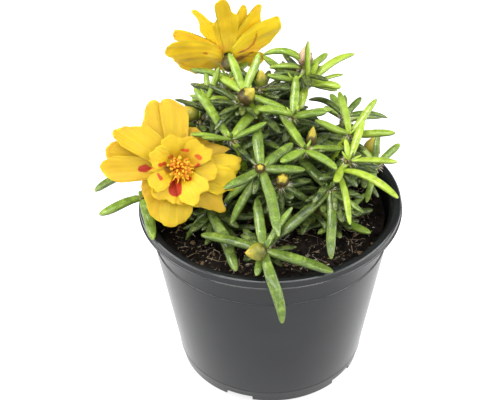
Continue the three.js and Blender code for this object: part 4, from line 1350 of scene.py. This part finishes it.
def planned_leaves(inner):
    """Every leaf of each tip, with its share of the light: those of the plan, those that fill
    its stem, and the inner ones that make the plant dense, kept clear of all others. By (shoot,
    place of the tip)."""
    tips = [
        (name, i, tip, stem_line(shoot, tip)[0])
        for name, shoot in SHOOTS.items() for i, tip in enumerate(shoot["tips"])
    ]
    beads, leaves = [], {}
    for name, i, tip, stem in tips:
        leaves[name, i] = [(leaf, 1.0) for leaf in tip["leaves"]]
        beads += beads_along(stem, STEM_BASE_RADIUS, (0.3, 0.4, 0.5, 0.6, 0.7, 0.8, 0.9, 1))
        for leaf in tip["leaves"]:
            beads += leaf_beads(stem, leaf)
    for bud in BUDS.values():
        start = np.array(bud["seat"], float)
        end = start + bud["length"] * heading(bud["turn"], bud["rise"])
        beads += beads_along(straight(start, end), bud["width"] / 2, (0.2, 0.5, 0.8))
    for flower in FLOWERS.values():
        for petal in flower["petals"]:
            grid = petal_sheet(petal, np.linspace(-0.9, 0.9, 5), np.array([0.4, 0.7, 1.0]))
            beads += [(point, 1.2) for point in on_flower(flower, grid.reshape(-1, 3))]
    for name, i, tip, stem in tips:
        for k in range(tip["fill"]):
            for shift in FILL_SHIFTS:
                turn = tip["leaves"][0][0] + GOLDEN_TURN * (k + 1) + shift
                leaf = (turn, *FILL_LEAF, FILL_FIRST + FILL_STEP * k)
                own = leaf_beads(stem, leaf)
                if lowest(own) >= FILL_LOWEST and fits(own, stacked(beads), FILL_SPARE):
                    leaves[name, i].append((leaf, FILL_LIGHT))
                    beads += own
                    break
    for start, end, radius in CLEARINGS:
        line = straight(np.array(start, float), np.array(end, float))
        beads += beads_along(line, radius, np.linspace(0, 1, 12))
    draw = random.Random(3)
    for name, i, tip, stem in tips:
        length = along_by_length(stem)[1]
        tries = inner * (2 if tip["end"][1] > 10 else 1)
        for k in range(tries):
            below = 3 + (length - 20) * (k + draw.random()) / tries
            for _ in range(INNER_TRIES):
                size = 8 + 11 * draw.random()
                turn, rise = draw.random() * 360, 45 * draw.random() - 12
                leaf = (turn, rise, 20, size, 2.6 + 1.4 * draw.random(), below)
                own = beads_along(leaf_line(stem, leaf), leaf[4] / 2, (0.3, 0.5, 0.7, 0.85, 0.97))
                if lowest(own) < INNER_LOWEST or np.hypot(*own[-1][0][:2]) > INNER_REACH:
                    continue
                if fits(own[1:], stacked(beads), INNER_SPARE):
                    leaves[name, i].append((leaf, INNER_LIGHT))
                    beads += own
                    break
    return leaves


LEAF_SHARES = np.array([
    0, 0.01, 0.035, 0.08, 0.15, 0.24, 0.34, 0.44, 0.54, 0.64, 0.73, 0.81, 0.87, 0.92, 0.955, 0.98,
    0.993, 1,
])


def add_leaf(skin, stem, leaf, tone, draw):
    """A fleshy leaf of nearly even width, flatter above, with a blunt tip and a short neck."""
    turn, _, _, length, width = leaf[:5]
    line = leaf_line(stem, leaf)
    inner = LEAF_SHARES[1:-1]
    blunt = 0.55 + 0.45 * draw.random()
    neck = 0.45 + 0.35 * smooth(-0.02, 0.12, inner) + 0.2 * smooth(0.1, 0.4, inner)
    ending = np.clip((inner - 0.5) / 0.5, 0, 1)
    round_end, sharp_end = np.sqrt(1 - ending**4.2), 1 - ending**2.4
    radii = width / 2 * neck * (blunt * round_end + (1 - blunt) * sharp_end)
    radii = radii * (1 + 0.03 * np.sin(9 * inner + 6 * draw.random()))
    sway, lift = (draw.random() - 0.5) * 0.07 * length, (draw.random() - 0.5) * 0.04 * length
    phase = draw.random() * 3
    across = heading(turn - 90, 0)

    def swaying(share):
        share = np.asarray(share, float)
        wave = np.sin(np.pi * share) * np.sin(3.2 * share + phase)
        return line(share) + wave[..., None] * (sway * across + np.array([0, 0, lift]))

    points, faces, along, height = tube(
        swaying, LEAF_SHARES, radii, LEAF_SIDES, across, above=0.52, below=0.9,
        twist=50 * (draw.random() - 0.5), square=0.82,
    )
    place = np.stack([along, height, 0 * along + tone], -1)
    seed = 60 * draw.random()
    paint = np.stack([along * length, height * width / 2 + seed, 0 * along + seed], -1)
    skin.add(points, faces, place, paint, finish=0)


def add_stem(skin, shoot, tip):
    """A stem that swells a little at each node."""
    line, level = stem_line(shoot, tip)
    base = STEM_BASE_RADIUS if tip is shoot["tips"][0] else BRANCH_RADIUS
    shares = np.concatenate([[0, 0.01], np.linspace(0.04, 0.97, 26), [0.99, 1]])
    inner = shares[1:-1]
    length = along_by_length(line)[1]
    radii = base + (STEM_TIP_RADIUS - base) * inner
    radii = radii * (1 + 0.13 * np.maximum(0, np.sin(inner * length * 2 * np.pi / 5.5)) ** 3)
    radii[-1] *= 0.8
    points, faces, along, height = tube(line, shares, radii, STEM_SIDES, level)
    young = 0.25 + 0.75 * tip["tone"]
    place = np.stack([along, height, young * smooth(-0.1, 0.8, along)], -1)
    skin.add(points, faces, place, finish=1)


def make_shoot(name, leaves, materials):
    draw = random.Random(name)
    shoot = SHOOTS[name]
    skin = Skin()
    for i, tip in enumerate(shoot["tips"]):
        stem = stem_line(shoot, tip)[0]
        add_stem(skin, shoot, tip)
        for leaf, light in leaves[name, i]:
            # Painted shade: a leaf with a smaller share of the light gets a deeper tone.
            young = tip["tone"] * (0.5 + 0.5 * light) - SHADE_DEPTH * (1 - light)
            add_leaf(skin, stem, leaf, young + TONE_SPREAD * (draw.random() - 0.5), draw)
        end = np.array(tip["end"], float)
        for k in range(3):
            add_young_leaf(skin, end, GOLDEN_TURN * k + 40 * draw.random(), tip["tone"], draw)
        for k in range(6):
            add_resting_bud(skin, end, 90 * k + 60 * draw.random(), draw)
    return skin.build(f"sprig_{name}", materials)


def add_young_leaf(skin, end, turn, tone, draw):
    """One of the small leaves that close round a growing tip."""
    line = drooping(end, turn, 25 + 45 * draw.random(), -30, 3 + 3 * draw.random())
    shares = np.array([0, 0.05, 0.25, 0.5, 0.75, 0.92, 1])
    radii = 0.75 * np.array([0.7, 1, 1.1, 0.9, 0.5])
    points, faces, along, height = tube(line, shares, radii, 8, heading(turn - 90, 0), 0.6, 0.8)
    skin.add(points, faces, np.stack([along, height, 0 * along + min(1, tone + 0.3)], -1))


def add_resting_bud(skin, end, turn, draw):
    """One of the small dark buds that rest where the leaves of a tip meet."""
    start = end + 1.1 * heading(turn, 0) - np.array([0, 0, 0.7])
    length = 2.2 + 0.9 * draw.random()
    line = straight(start, start + length * heading(turn, 30 + 45 * draw.random()))
    shares = np.array([0, 0.06, 0.25, 0.5, 0.75, 0.93, 1])
    radii = 1.05 * np.array([0.5, 0.9, 1.0, 0.8, 0.4])
    points, faces, along, height = tube(line, shares, radii, 8, heading(turn - 90, 0))
    skin.add(points, faces, np.stack([0.35 * along, height, 0 * along + 0.5], -1), finish=2)


def make_hairs(look):
    """The tufts of bristles where leaves meet, at each tip."""
    draw = random.Random(17)
    skin = Skin()
    for shoot in SHOOTS.values():
        for tip in shoot["tips"]:
            end = np.array(tip["end"], float)
            for _ in range(look.hairs):
                turn, rise = draw.random() * 360, 70 * draw.random() - 15
                start = end + 1.2 * heading(turn, rise) - np.array([0, 0, 0.6])
                droop, length = 60 * draw.random(), 1.8 + 2.7 * draw.random()
                line = drooping(start, turn + 30, rise, droop, length)
                level = heading(turn - 60, 0)
                points, faces = tube(line, (0, 0.05, 0.5, 1), (0.15, 0.11), 4, level)[:2]
                skin.add(points, faces, (0, 0, draw.random()))
    return skin.build("axil_hairs", [axil_hair()])


# ---- Buds --------------------------------------------------------------------------------


def make_bud(name, material):
    """Two keeled sepals as one hood round a cone of folded petals."""
    bud = BUDS[name]
    draw = random.Random(name)
    axis = heading(bud["turn"], bud["rise"])
    start = np.array(bud["seat"], float)
    end = start + bud["length"] * axis
    side = heading(bud["turn"] - 90, 0)
    skin = Skin()
    shares = np.array([
        0, 0.015, 0.06, 0.13, 0.21, 0.3, 0.4, 0.5, 0.6, 0.7, 0.8, 0.88, 0.94, 0.98, 1,
    ])
    inner = shares[1:-1]
    half = bud["width"] / 2

    def spindle(share):
        return np.sin(np.pi * np.clip(share, 0, 1) ** 0.72) ** 0.75

    def shaped(points, share):
        """Presses folds or keels into a round skin: share of its radius, by its turn."""
        spine = start + ((points - start) @ axis)[:, None] * axis
        return spine + (points - spine) * share[:, None]

    def turns(points):
        return np.arctan2((points - start) @ np.cross(side, axis), (points - start) @ side)

    core = straight(start + 0.02 * (end - start), end)
    radii = half * 0.9 * spindle(inner)
    points, faces, along, height = tube(core, shares, radii, BUD_SIDES, side)
    folds = 1 + 0.09 * np.cos(5 * turns(points) + 5 * along + draw.random())
    place = np.stack([0.35 + 0.65 * along, height, 0 * along + 0.45 * bud["brown"]], -1)
    paint = (bud["faded"], 0, 0)
    skin.add(shaped(points, folds), faces, place, paint)
    cover = 1 - 0.75 * bud["petals"]
    hood = straight(start, start + (end - start) * cover)
    closing = 1 - smooth(0.9, 1.0, inner) * (0.2 if bud["petals"] > 0.22 else 0.75)
    radii = half * spindle(inner * cover) * closing
    points, faces, along, height = tube(hood, shares, radii, BUD_SIDES, side)
    keels = 1 + 0.07 * np.cos(turns(points) + 0.6) ** 8 + 0.03 * np.cos(3 * turns(points)) * along
    place = np.stack([along * cover * 0.8, height, 0 * along + bud["brown"]], -1)
    skin.add(shaped(points, keels), faces, place, paint)
    return skin.build(f"bud_{name}_closed", [material])


# ---- Flowers -----------------------------------------------------------------------------


def on_flower(flower, points):
    """Places points of a flower made round the origin, with +Z out of its face and +X to its
    right as seen from the front."""
    out, right = heading(flower["turn"], flower["rise"]), heading(flower["turn"] + 90, 0)
    return points @ np.array([right, np.cross(out, right), out]) + np.array(flower["centre"])


def rim_curve(rim, across):
    """Points of a petal's outline by their place across it, from -1 to 1, as a smooth curve
    through the outline's (turn, radius) points."""
    turn = np.radians([t for t, _ in rim])
    radius = np.array([r for _, r in rim], float)
    points = np.stack([radius * np.cos(turn), radius * np.sin(turn)], -1)
    walked = np.concatenate([[0], np.cumsum(np.linalg.norm(np.diff(points, axis=0), axis=1))])
    knots = 2 * walked / walked[-1] - 1
    slope = np.gradient(points, knots, axis=0)
    i = np.clip(np.searchsorted(knots, across, side="right") - 1, 0, len(knots) - 2)
    gap = (knots[i + 1] - knots[i])[:, None]
    t = (across - knots[i])[:, None] / gap
    return (
        (2 * t**3 - 3 * t**2 + 1) * points[i] + (t**3 - 2 * t**2 + t) * gap * slope[i]
        + (3 * t**2 - 2 * t**3) * points[i + 1] + (t**3 - t**2) * gap * slope[i + 1]
    )


def petal_sheet(petal, across, along, rim=None, scallop=0.0):
    """The middle of a petal's sheet, by its places across (-1 to 1) and along (0 to 1). It runs
    from a narrow claw out to its rim on a cone round the flower's axis, and the cones of the
    layers never cross."""
    rise, layer, _, ragged, outline = petal
    edge = rim_curve(rim or outline, across)
    reach = np.hypot(edge[:, 0], edge[:, 1])
    wave = np.sin(9 * across + scallop) + 0.7 * np.sin(17 * across + 2 * scallop)
    wave = wave + 0.4 * np.sin(37 * across)
    edge = edge * (1 + ragged * wave / reach)[:, None]
    middle = edge.mean(0) / np.linalg.norm(edge.mean(0))
    aside = np.array([-middle[1], middle[0]])
    claw = (COLUMN_RADIUS + GAP) * unit(1.1 * middle + across[:, None] * aside)
    ahead = (claw @ middle)[:, None] * (1 - along) + (edge @ middle)[:, None] * along
    spread = along**BASE_SPREAD
    sideways = (claw @ aside)[:, None] * (1 - spread) + (edge @ aside)[:, None] * spread
    flat = ahead[..., None] * middle + sideways[..., None] * aside
    away = np.hypot(flat[..., 0], flat[..., 1])
    stacking = layer * PETAL_LAYER * (0.4 + 0.6 * smooth(2, 7, away))
    lift = stacking + 0.25 + away * math.tan(math.radians(rise))
    return np.concatenate([flat, lift[..., None]], -1)


def ruffled(points, ruffle, seed):
    """Bends a flower as a whole, so that its layers stay apart: a hollow round the stamens, and
    folds that grow towards the rim."""
    x, y = points[..., 0], points[..., 1]
    distance, turn = np.hypot(x, y), np.arctan2(y, x)
    bowl = 2.0 * smooth(3, 11, distance) - 1.6 * smooth(16, 34, distance)
    folds = np.sin(7 * turn + seed) + 0.7 * np.sin(11 * turn + 2 + seed)
    folds = folds + 0.35 * np.sin(23 * turn + 0.15 * distance)
    lift = bowl + ruffle * 0.5 * folds * smooth(7, 28, distance)
    return points + lift[..., None] * np.array([0, 0, 1.0])


def polar(turn, radius):
    return radius * np.array([math.cos(math.radians(turn)), math.sin(math.radians(turn))])


def petal_paint(flower, points):
    """For points of a flower: how far they lie inside its nearest stroke in millimetres, that
    stroke's tone, and how deep the painted olive shade in a hollow is there."""
    flat = points[..., :2]
    inside, tone = np.full(flat.shape[:-1], -5.0), np.zeros(flat.shape[:-1])
    for colour, line in flower["strokes"]:
        for (turn_a, far_a, half_a), (turn_b, far_b, half_b) in zip(line, line[1:]):
            start, end = polar(turn_a, far_a), polar(turn_b, far_b)
            span = end - start
            share = np.clip((flat - start) @ span / np.dot(span, span), 0, 1)
            away = np.linalg.norm(flat - start - share[..., None] * span, axis=-1)
            here = half_a + (half_b - half_a) * share - away
            tone = np.where(here > inside, colour, tone)
            inside = np.maximum(inside, here)
    hollow = np.zeros(tone.shape)
    for turn, far, size, depth in flower["painted_shades"]:
        away = np.linalg.norm(flat - polar(turn, far), axis=-1)
        hollow = np.maximum(hollow, depth * (1 - smooth(0.2 * size, size, away)))
    return np.stack([inside, tone, hollow], -1)


def add_sheet(skin, flower, petal, number, look, rim=None, above=0.0):
    """A thin ruffled sheet with a closed, rounded rim."""
    draw = random.Random(f"{flower['turn']}{number}{above}")
    columns, rows = 49, 33
    across, along = np.linspace(-1, 1, columns), np.linspace(0, 1, rows)
    phase = draw.random() * 6
    sheet = petal_sheet(petal, across, along, rim, phase)
    paint = petal_paint(flower, sheet)
    own = 0.1 * np.sin(4 * across[:, None] + phase) * smooth(0.3, 1, along)[None, :]
    sheet[..., 2] += own + above
    sheet = ruffled(sheet, look.ruffle / MM, flower["turn"] % 7)
    normal = unit(np.cross(np.gradient(sheet, axis=0), np.gradient(sheet, axis=1)))
    edge = np.minimum(1 - np.abs(across)[:, None], (1 - along)[None, :])
    thickness = PETAL_THICKNESS / 2 * (0.2 + 0.8 * smooth(0, 0.08, edge))
    halves = [sheet + normal * thickness[..., None], sheet - normal * thickness[..., None]]
    points = on_flower(flower, np.concatenate([half.reshape(-1, 3) for half in halves]))
    place = np.stack([
        across[:, None] + 0 * along + 5 * number,
        np.maximum(along[None, :], np.abs(across)[:, None] ** 4),
        np.full((columns, rows), petal[2] - 0.5 * above),
    ], -1).reshape(-1, 3)
    faces = []
    index = np.arange(columns * rows).reshape(columns, rows)
    below = columns * rows
    for i in range(columns - 1):
        for j in range(rows - 1):
            a, b, c, d = index[i, j], index[i + 1, j], index[i + 1, j + 1], index[i, j + 1]
            faces.append((a, b, c, d))
            faces.append((d + below, c + below, b + below, a + below))
    border = np.concatenate([index[:, 0], index[-1, 1:], index[-2::-1, -1], index[0, -2:0:-1]])
    for a, b in zip(border, np.roll(border, -1)):
        faces.append((b, a, a + below, b + below))
    skin.add(points, faces, np.tile(place, (2, 1)), np.tile(paint.reshape(-1, 3), (2, 1)))


def make_petal(name, number, material, look):
    flower = FLOWERS[name]
    petal = flower["petals"][number - 1]
    skin = Skin()
    add_sheet(skin, flower, petal, number, look)
    if number in flower["lobes"]:
        add_sheet(skin, flower, petal, number, look, flower["lobes"][number], above=0.5)
    return skin.build(f"petal_{name}_{number}", [material])


def make_calyx(name, material):
    """The cup of two fleshy sepals under a flower, with the column that the petals grow from."""
    flower = FLOWERS[name]
    top = (flower["top_layer"] + 1) * PETAL_LAYER + COLUMN_SPARE
    profile = [
        (0, top), (1.5, top), (COLUMN_RADIUS - 0.1, top - 0.6), (COLUMN_RADIUS, -GAP),
        (2.6, -0.4), (3.1, -0.9), (CALYX_RADIUS, -2.4), (3.2, -4), (2.4, -5.6), (1.6, -6.6),
        (STEM_TIP_RADIUS, -CALYX_DEPTH), (0, -CALYX_DEPTH),
    ]
    points, faces = turned(profile, 28)
    turn = np.arctan2(points[:, 1], points[:, 0])
    ribs = 1 + 0.05 * np.cos(2 * turn) ** 6 * (points[:, 2] < -0.5)
    points[:, :2] *= ribs[:, None]
    skin = Skin()
    along = np.clip(0.35 - points[:, 2] * 0.05, 0, 1)
    # Its brown share of 0.5 is partly painted shade, for the calyx lies in shade under the petals.
    place = np.stack([0.3 * along, 0 * along, 0 * along + 0.5], -1)
    skin.add(on_flower(flower, points), faces, place)
    return skin.build(f"calyx_{name}", [material])


def make_stamens(name, material, look):
    """A tuft of bent filaments with anthers, and the curled lobes of the style among them."""
    flower = FLOWERS[name]
    draw = random.Random(name)
    base = (flower["top_layer"] + 1) * PETAL_LAYER + COLUMN_SPARE + GAP
    skin = Skin()
    mound = [(0, base), (1.9, base), (1.7, base + 0.9), (0.9, base + 1.3), (0, base + 1.4)]
    points, faces = turned(mound, 20)
    skin.add(on_flower(flower, points), [f[::-1] for f in faces], (0, 0, 0.1))
    bead, bead_faces = ball()
    for i in range(look.filaments):
        share = math.sqrt((i + 0.5) / look.filaments)
        turn = GOLDEN_TURN * i
        rise, droop = 90 - 62 * share * 0.55, 50 * share + 10
        start = np.array([*(1.5 * share * heading(turn, 0))[:2], base + 0.6])
        length = 3.2 + 1.5 * draw.random()
        line = drooping(start, turn + 30 * draw.random(), rise, droop, length)
        tone = 0.15 + 0.4 * draw.random()
        points, faces = tube(
            line, (0, 0.05, 0.35, 0.7, 0.95, 1), (0.3, 0.27, 0.25, 0.22), 6, heading(turn - 90, 0)
        )[:2]
        skin.add(on_flower(flower, points), faces, (0, 0, tone))
        spin = np.array(Matrix.Rotation(draw.random() * 6, 3, "Z"))
        anther = (bead * np.array([0.68, 0.5, 0.42])) @ spin.T + line(1.0)
        dusty = min(1, tone + 0.15 + 0.4 * draw.random())
        skin.add(on_flower(flower, anther), bead_faces, (0, 0, dusty))
    for i in range(7):
        turn = -130 + 22 * i + 12 * draw.random()
        start = np.array([*(1.2 * heading(turn, 0))[:2], base + 1.2])
        line = drooping(start, turn, 62, 150, 5.2 + draw.random())
        shares = np.array([0, 0.04, 0.2, 0.4, 0.6, 0.8, 0.95, 1])
        radii = 0.3 * np.array([1, 1, 0.95, 0.9, 0.85, 0.6])
        points, faces = tube(line, shares, radii, 7, heading(turn - 90, 0))[:2]
        skin.add(on_flower(flower, points), faces, (0, 0, 0.95))
    return skin.build(f"stamens_{name}", [material])


# ---- Operators ---------------------------------------------------------------------------


class PORTULACA_OT_pot(bpy.types.Operator):
    """Make the moulded nursery pot with its lip, shoulder line and notched foot"""

    bl_idname = "portulaca.pot"
    bl_label = "Pot"

    def execute(self, context):
        seat(make_pot(context.scene.portulaca_pot), "pot_plastic", "pot")
        return {"FINISHED"}


class PORTULACA_OT_peat(bpy.types.Operator):
    """Make the peat, its loose crumbs and its fibres"""

    bl_idname = "portulaca.peat"
    bl_label = "Peat"

    def execute(self, context):
        look = context.scene.portulaca_peat
        seat(make_peat(look), "peat", "soil")
        seat(make_crumbs(look), "peat")
        seat(make_fibres(look), "peat")
        return {"FINISHED"}


class PORTULACA_OT_shoots(bpy.types.Operator):
    """Make the leafy shoots and the hairs at their tips"""

    bl_idname = "portulaca.shoots"
    bl_label = "Shoots"

    def execute(self, context):
        look = context.scene.portulaca_plant
        leaves = planned_leaves(look.inner_leaves)
        materials = [leaf_skin(look), stem_skin(), sepal_skin(look)]
        for name in SHOOTS:
            seat(make_shoot(name, leaves, materials), "leaf", f"shoot_{name}")
        seat(make_hairs(look), "leaf")
        return {"FINISHED"}


class PORTULACA_OT_buds(bpy.types.Operator):
    """Make the buds and the closed flowers"""

    bl_idname = "portulaca.buds"
    bl_label = "Buds"

    def execute(self, context):
        material = sepal_skin(context.scene.portulaca_plant)
        for name in BUDS:
            seat(make_bud(name, material), "bud", f"bud_{name}")
        return {"FINISHED"}


class PORTULACA_OT_flowers(bpy.types.Operator):
    """Make both flowers: calyx, petals and stamens"""

    bl_idname = "portulaca.flowers"
    bl_label = "Flowers"

    def execute(self, context):
        look = context.scene.portulaca_flower
        petal, stamen = petal_skin(look), pollen_stalk()
        sepal = sepal_skin(context.scene.portulaca_plant)
        for name, flower in FLOWERS.items():
            seat(make_calyx(name, sepal), "calyx", f"{name}_flower_calyx")
            seat(make_stamens(name, stamen, look), "stamens", f"{name}_flower_stamens")
            for number in range(1, len(flower["petals"]) + 1):
                made = make_petal(name, number, petal, look)
                seat(made, "petal", f"{name}_flower_petal_{number}")
        return {"FINISHED"}


class PORTULACA_OT_stage(bpy.types.Operator):
    """Set the floor, the soft light and the camera"""

    bl_idname = "portulaca.stage"
    bl_label = "Stage"

    def execute(self, context):
        look = context.scene.portulaca_stage
        make_floor(look)
        make_light(look)
        make_camera(look, context.scene.portulaca_pot)
        return {"FINISHED"}


# The floor's width in metres, the power of the cards either side in watts and that of the cards
# in front as shares of the key light's, and how far the camera is turned aside, in degrees.
FLOOR_SIZE = 6
SIDE_POWER = 4.2
FRONT_SHARE, LOW_SHARE = 1.65, 0.34
CAMERA_ASIDE, CAMERA_DOWN = 0.83, 0.135


def make_floor(look):
    bpy.ops.mesh.primitive_plane_add(size=FLOOR_SIZE)
    floor = bpy.context.object
    floor.name = "floor"
    floor.data.materials.append(floor_card(look))


def lamp(name, place, aim, width, height, power):
    """A soft box, in metres and watts."""
    light = bpy.data.lights.new(name, "AREA")
    light.shape, light.size, light.size_y, light.energy = "RECTANGLE", width, height, power
    made = bpy.data.objects.new(name, light)
    made.location = place
    made.rotation_euler = (Vector(aim) - Vector(place)).to_track_quat("-Z", "Y").to_euler()
    bpy.context.scene.collection.objects.link(made)


def make_light(look):
    scene = bpy.context.scene
    scene.view_settings.view_transform = "Standard"
    world = bpy.data.worlds.new("even surround")
    scene.world = world
    world.use_nodes = True
    background = world.node_tree.nodes["Background"]
    feed(world.node_tree, background, {"Color": linear("#ffffff"), "Strength": look.sky})
    lamp("key", (-0.25, 0.05, 1.1), (0, 0, 0.1), 0.42, 0.32, look.key)
    lamp("front_card", (0.0, -0.75, 1.08), (0, 0, 0.1), 1.8, 0.25, FRONT_SHARE * look.key)
    lamp("low_card", (0.0, -1.0, 0.25), (0, 0, 0.12), 1.2, 0.3, LOW_SHARE * look.key)
    for name, x in (("left_card", -0.7), ("right_card", 0.7)):
        lamp(name, (x, -0.12, 0.45), (0, 0, 0.08), 0.85, 0.26, SIDE_POWER)


def make_camera(look, pot):
    """The camera looks down at the rim. It is turned a little aside about its own axes, so that
    the plant stands right of the middle and the pot stays upright in view."""
    data = bpy.data.cameras.new("camera")
    data.lens, data.sensor_width = look.lens, 36
    camera = bpy.data.objects.new("camera", data)
    bpy.context.scene.collection.objects.link(camera)
    rim = Vector((POT_AXIS[0] * MM, POT_AXIS[1] * MM, pot.height))
    back = Vector((0, -math.cos(look.elevation), math.sin(look.elevation)))
    camera.matrix_world = (
        Matrix.Translation(rim + back * look.distance)
        @ Matrix.Rotation(math.pi / 2 - look.elevation, 4, "X")
        @ Matrix.Rotation(math.radians(CAMERA_ASIDE), 4, "Y")
        @ Matrix.Rotation(math.radians(-CAMERA_DOWN), 4, "X")
    )
    bpy.context.scene.camera = camera


class PORTULACA_PT_sidebar(bpy.types.Panel):
    """Lists the plant's settings and pieces"""

    bl_idname = "PORTULACA_PT_sidebar"
    bl_label = "Potted portulaca"
    bl_space_type = "VIEW_3D"
    bl_region_type = "UI"
    bl_category = "Portulaca"

    def draw(self, context):
        for name, steps in STEPS.items():
            box = self.layout.box()
            settings = getattr(context.scene, f"portulaca_{name}")
            for key in settings.__annotations__:
                box.prop(settings, key)
            for step in steps:
                box.operator(step.bl_idname)


SETTINGS = {
    "pot": PotSettings,
    "peat": PeatSettings,
    "plant": PlantSettings,
    "flower": FlowerSettings,
    "stage": StageSettings,
}
STEPS = {
    "stage": (PORTULACA_OT_stage,),
    "pot": (PORTULACA_OT_pot,),
    "peat": (PORTULACA_OT_peat,),
    "plant": (PORTULACA_OT_shoots, PORTULACA_OT_buds),
    "flower": (PORTULACA_OT_flowers,),
}


def register():
    for name, group in SETTINGS.items():
        bpy.utils.register_class(group)
        setattr(bpy.types.Scene, f"portulaca_{name}", bpy.props.PointerProperty(type=group))
    for steps in STEPS.values():
        for step in steps:
            bpy.utils.register_class(step)
    bpy.utils.register_class(PORTULACA_PT_sidebar)


def unregister():
    bpy.utils.unregister_class(PORTULACA_PT_sidebar)
    for steps in STEPS.values():
        for step in steps:
            bpy.utils.unregister_class(step)
    for name, group in SETTINGS.items():
        delattr(bpy.types.Scene, f"portulaca_{name}")
        bpy.utils.unregister_class(group)


def main():
    register()
    bpy.ops.portulaca.stage()
    bpy.ops.portulaca.pot()
    bpy.ops.portulaca.peat()
    bpy.ops.portulaca.shoots()
    bpy.ops.portulaca.buds()
    bpy.ops.portulaca.flowers()


if __name__ == "__main__":
    main()
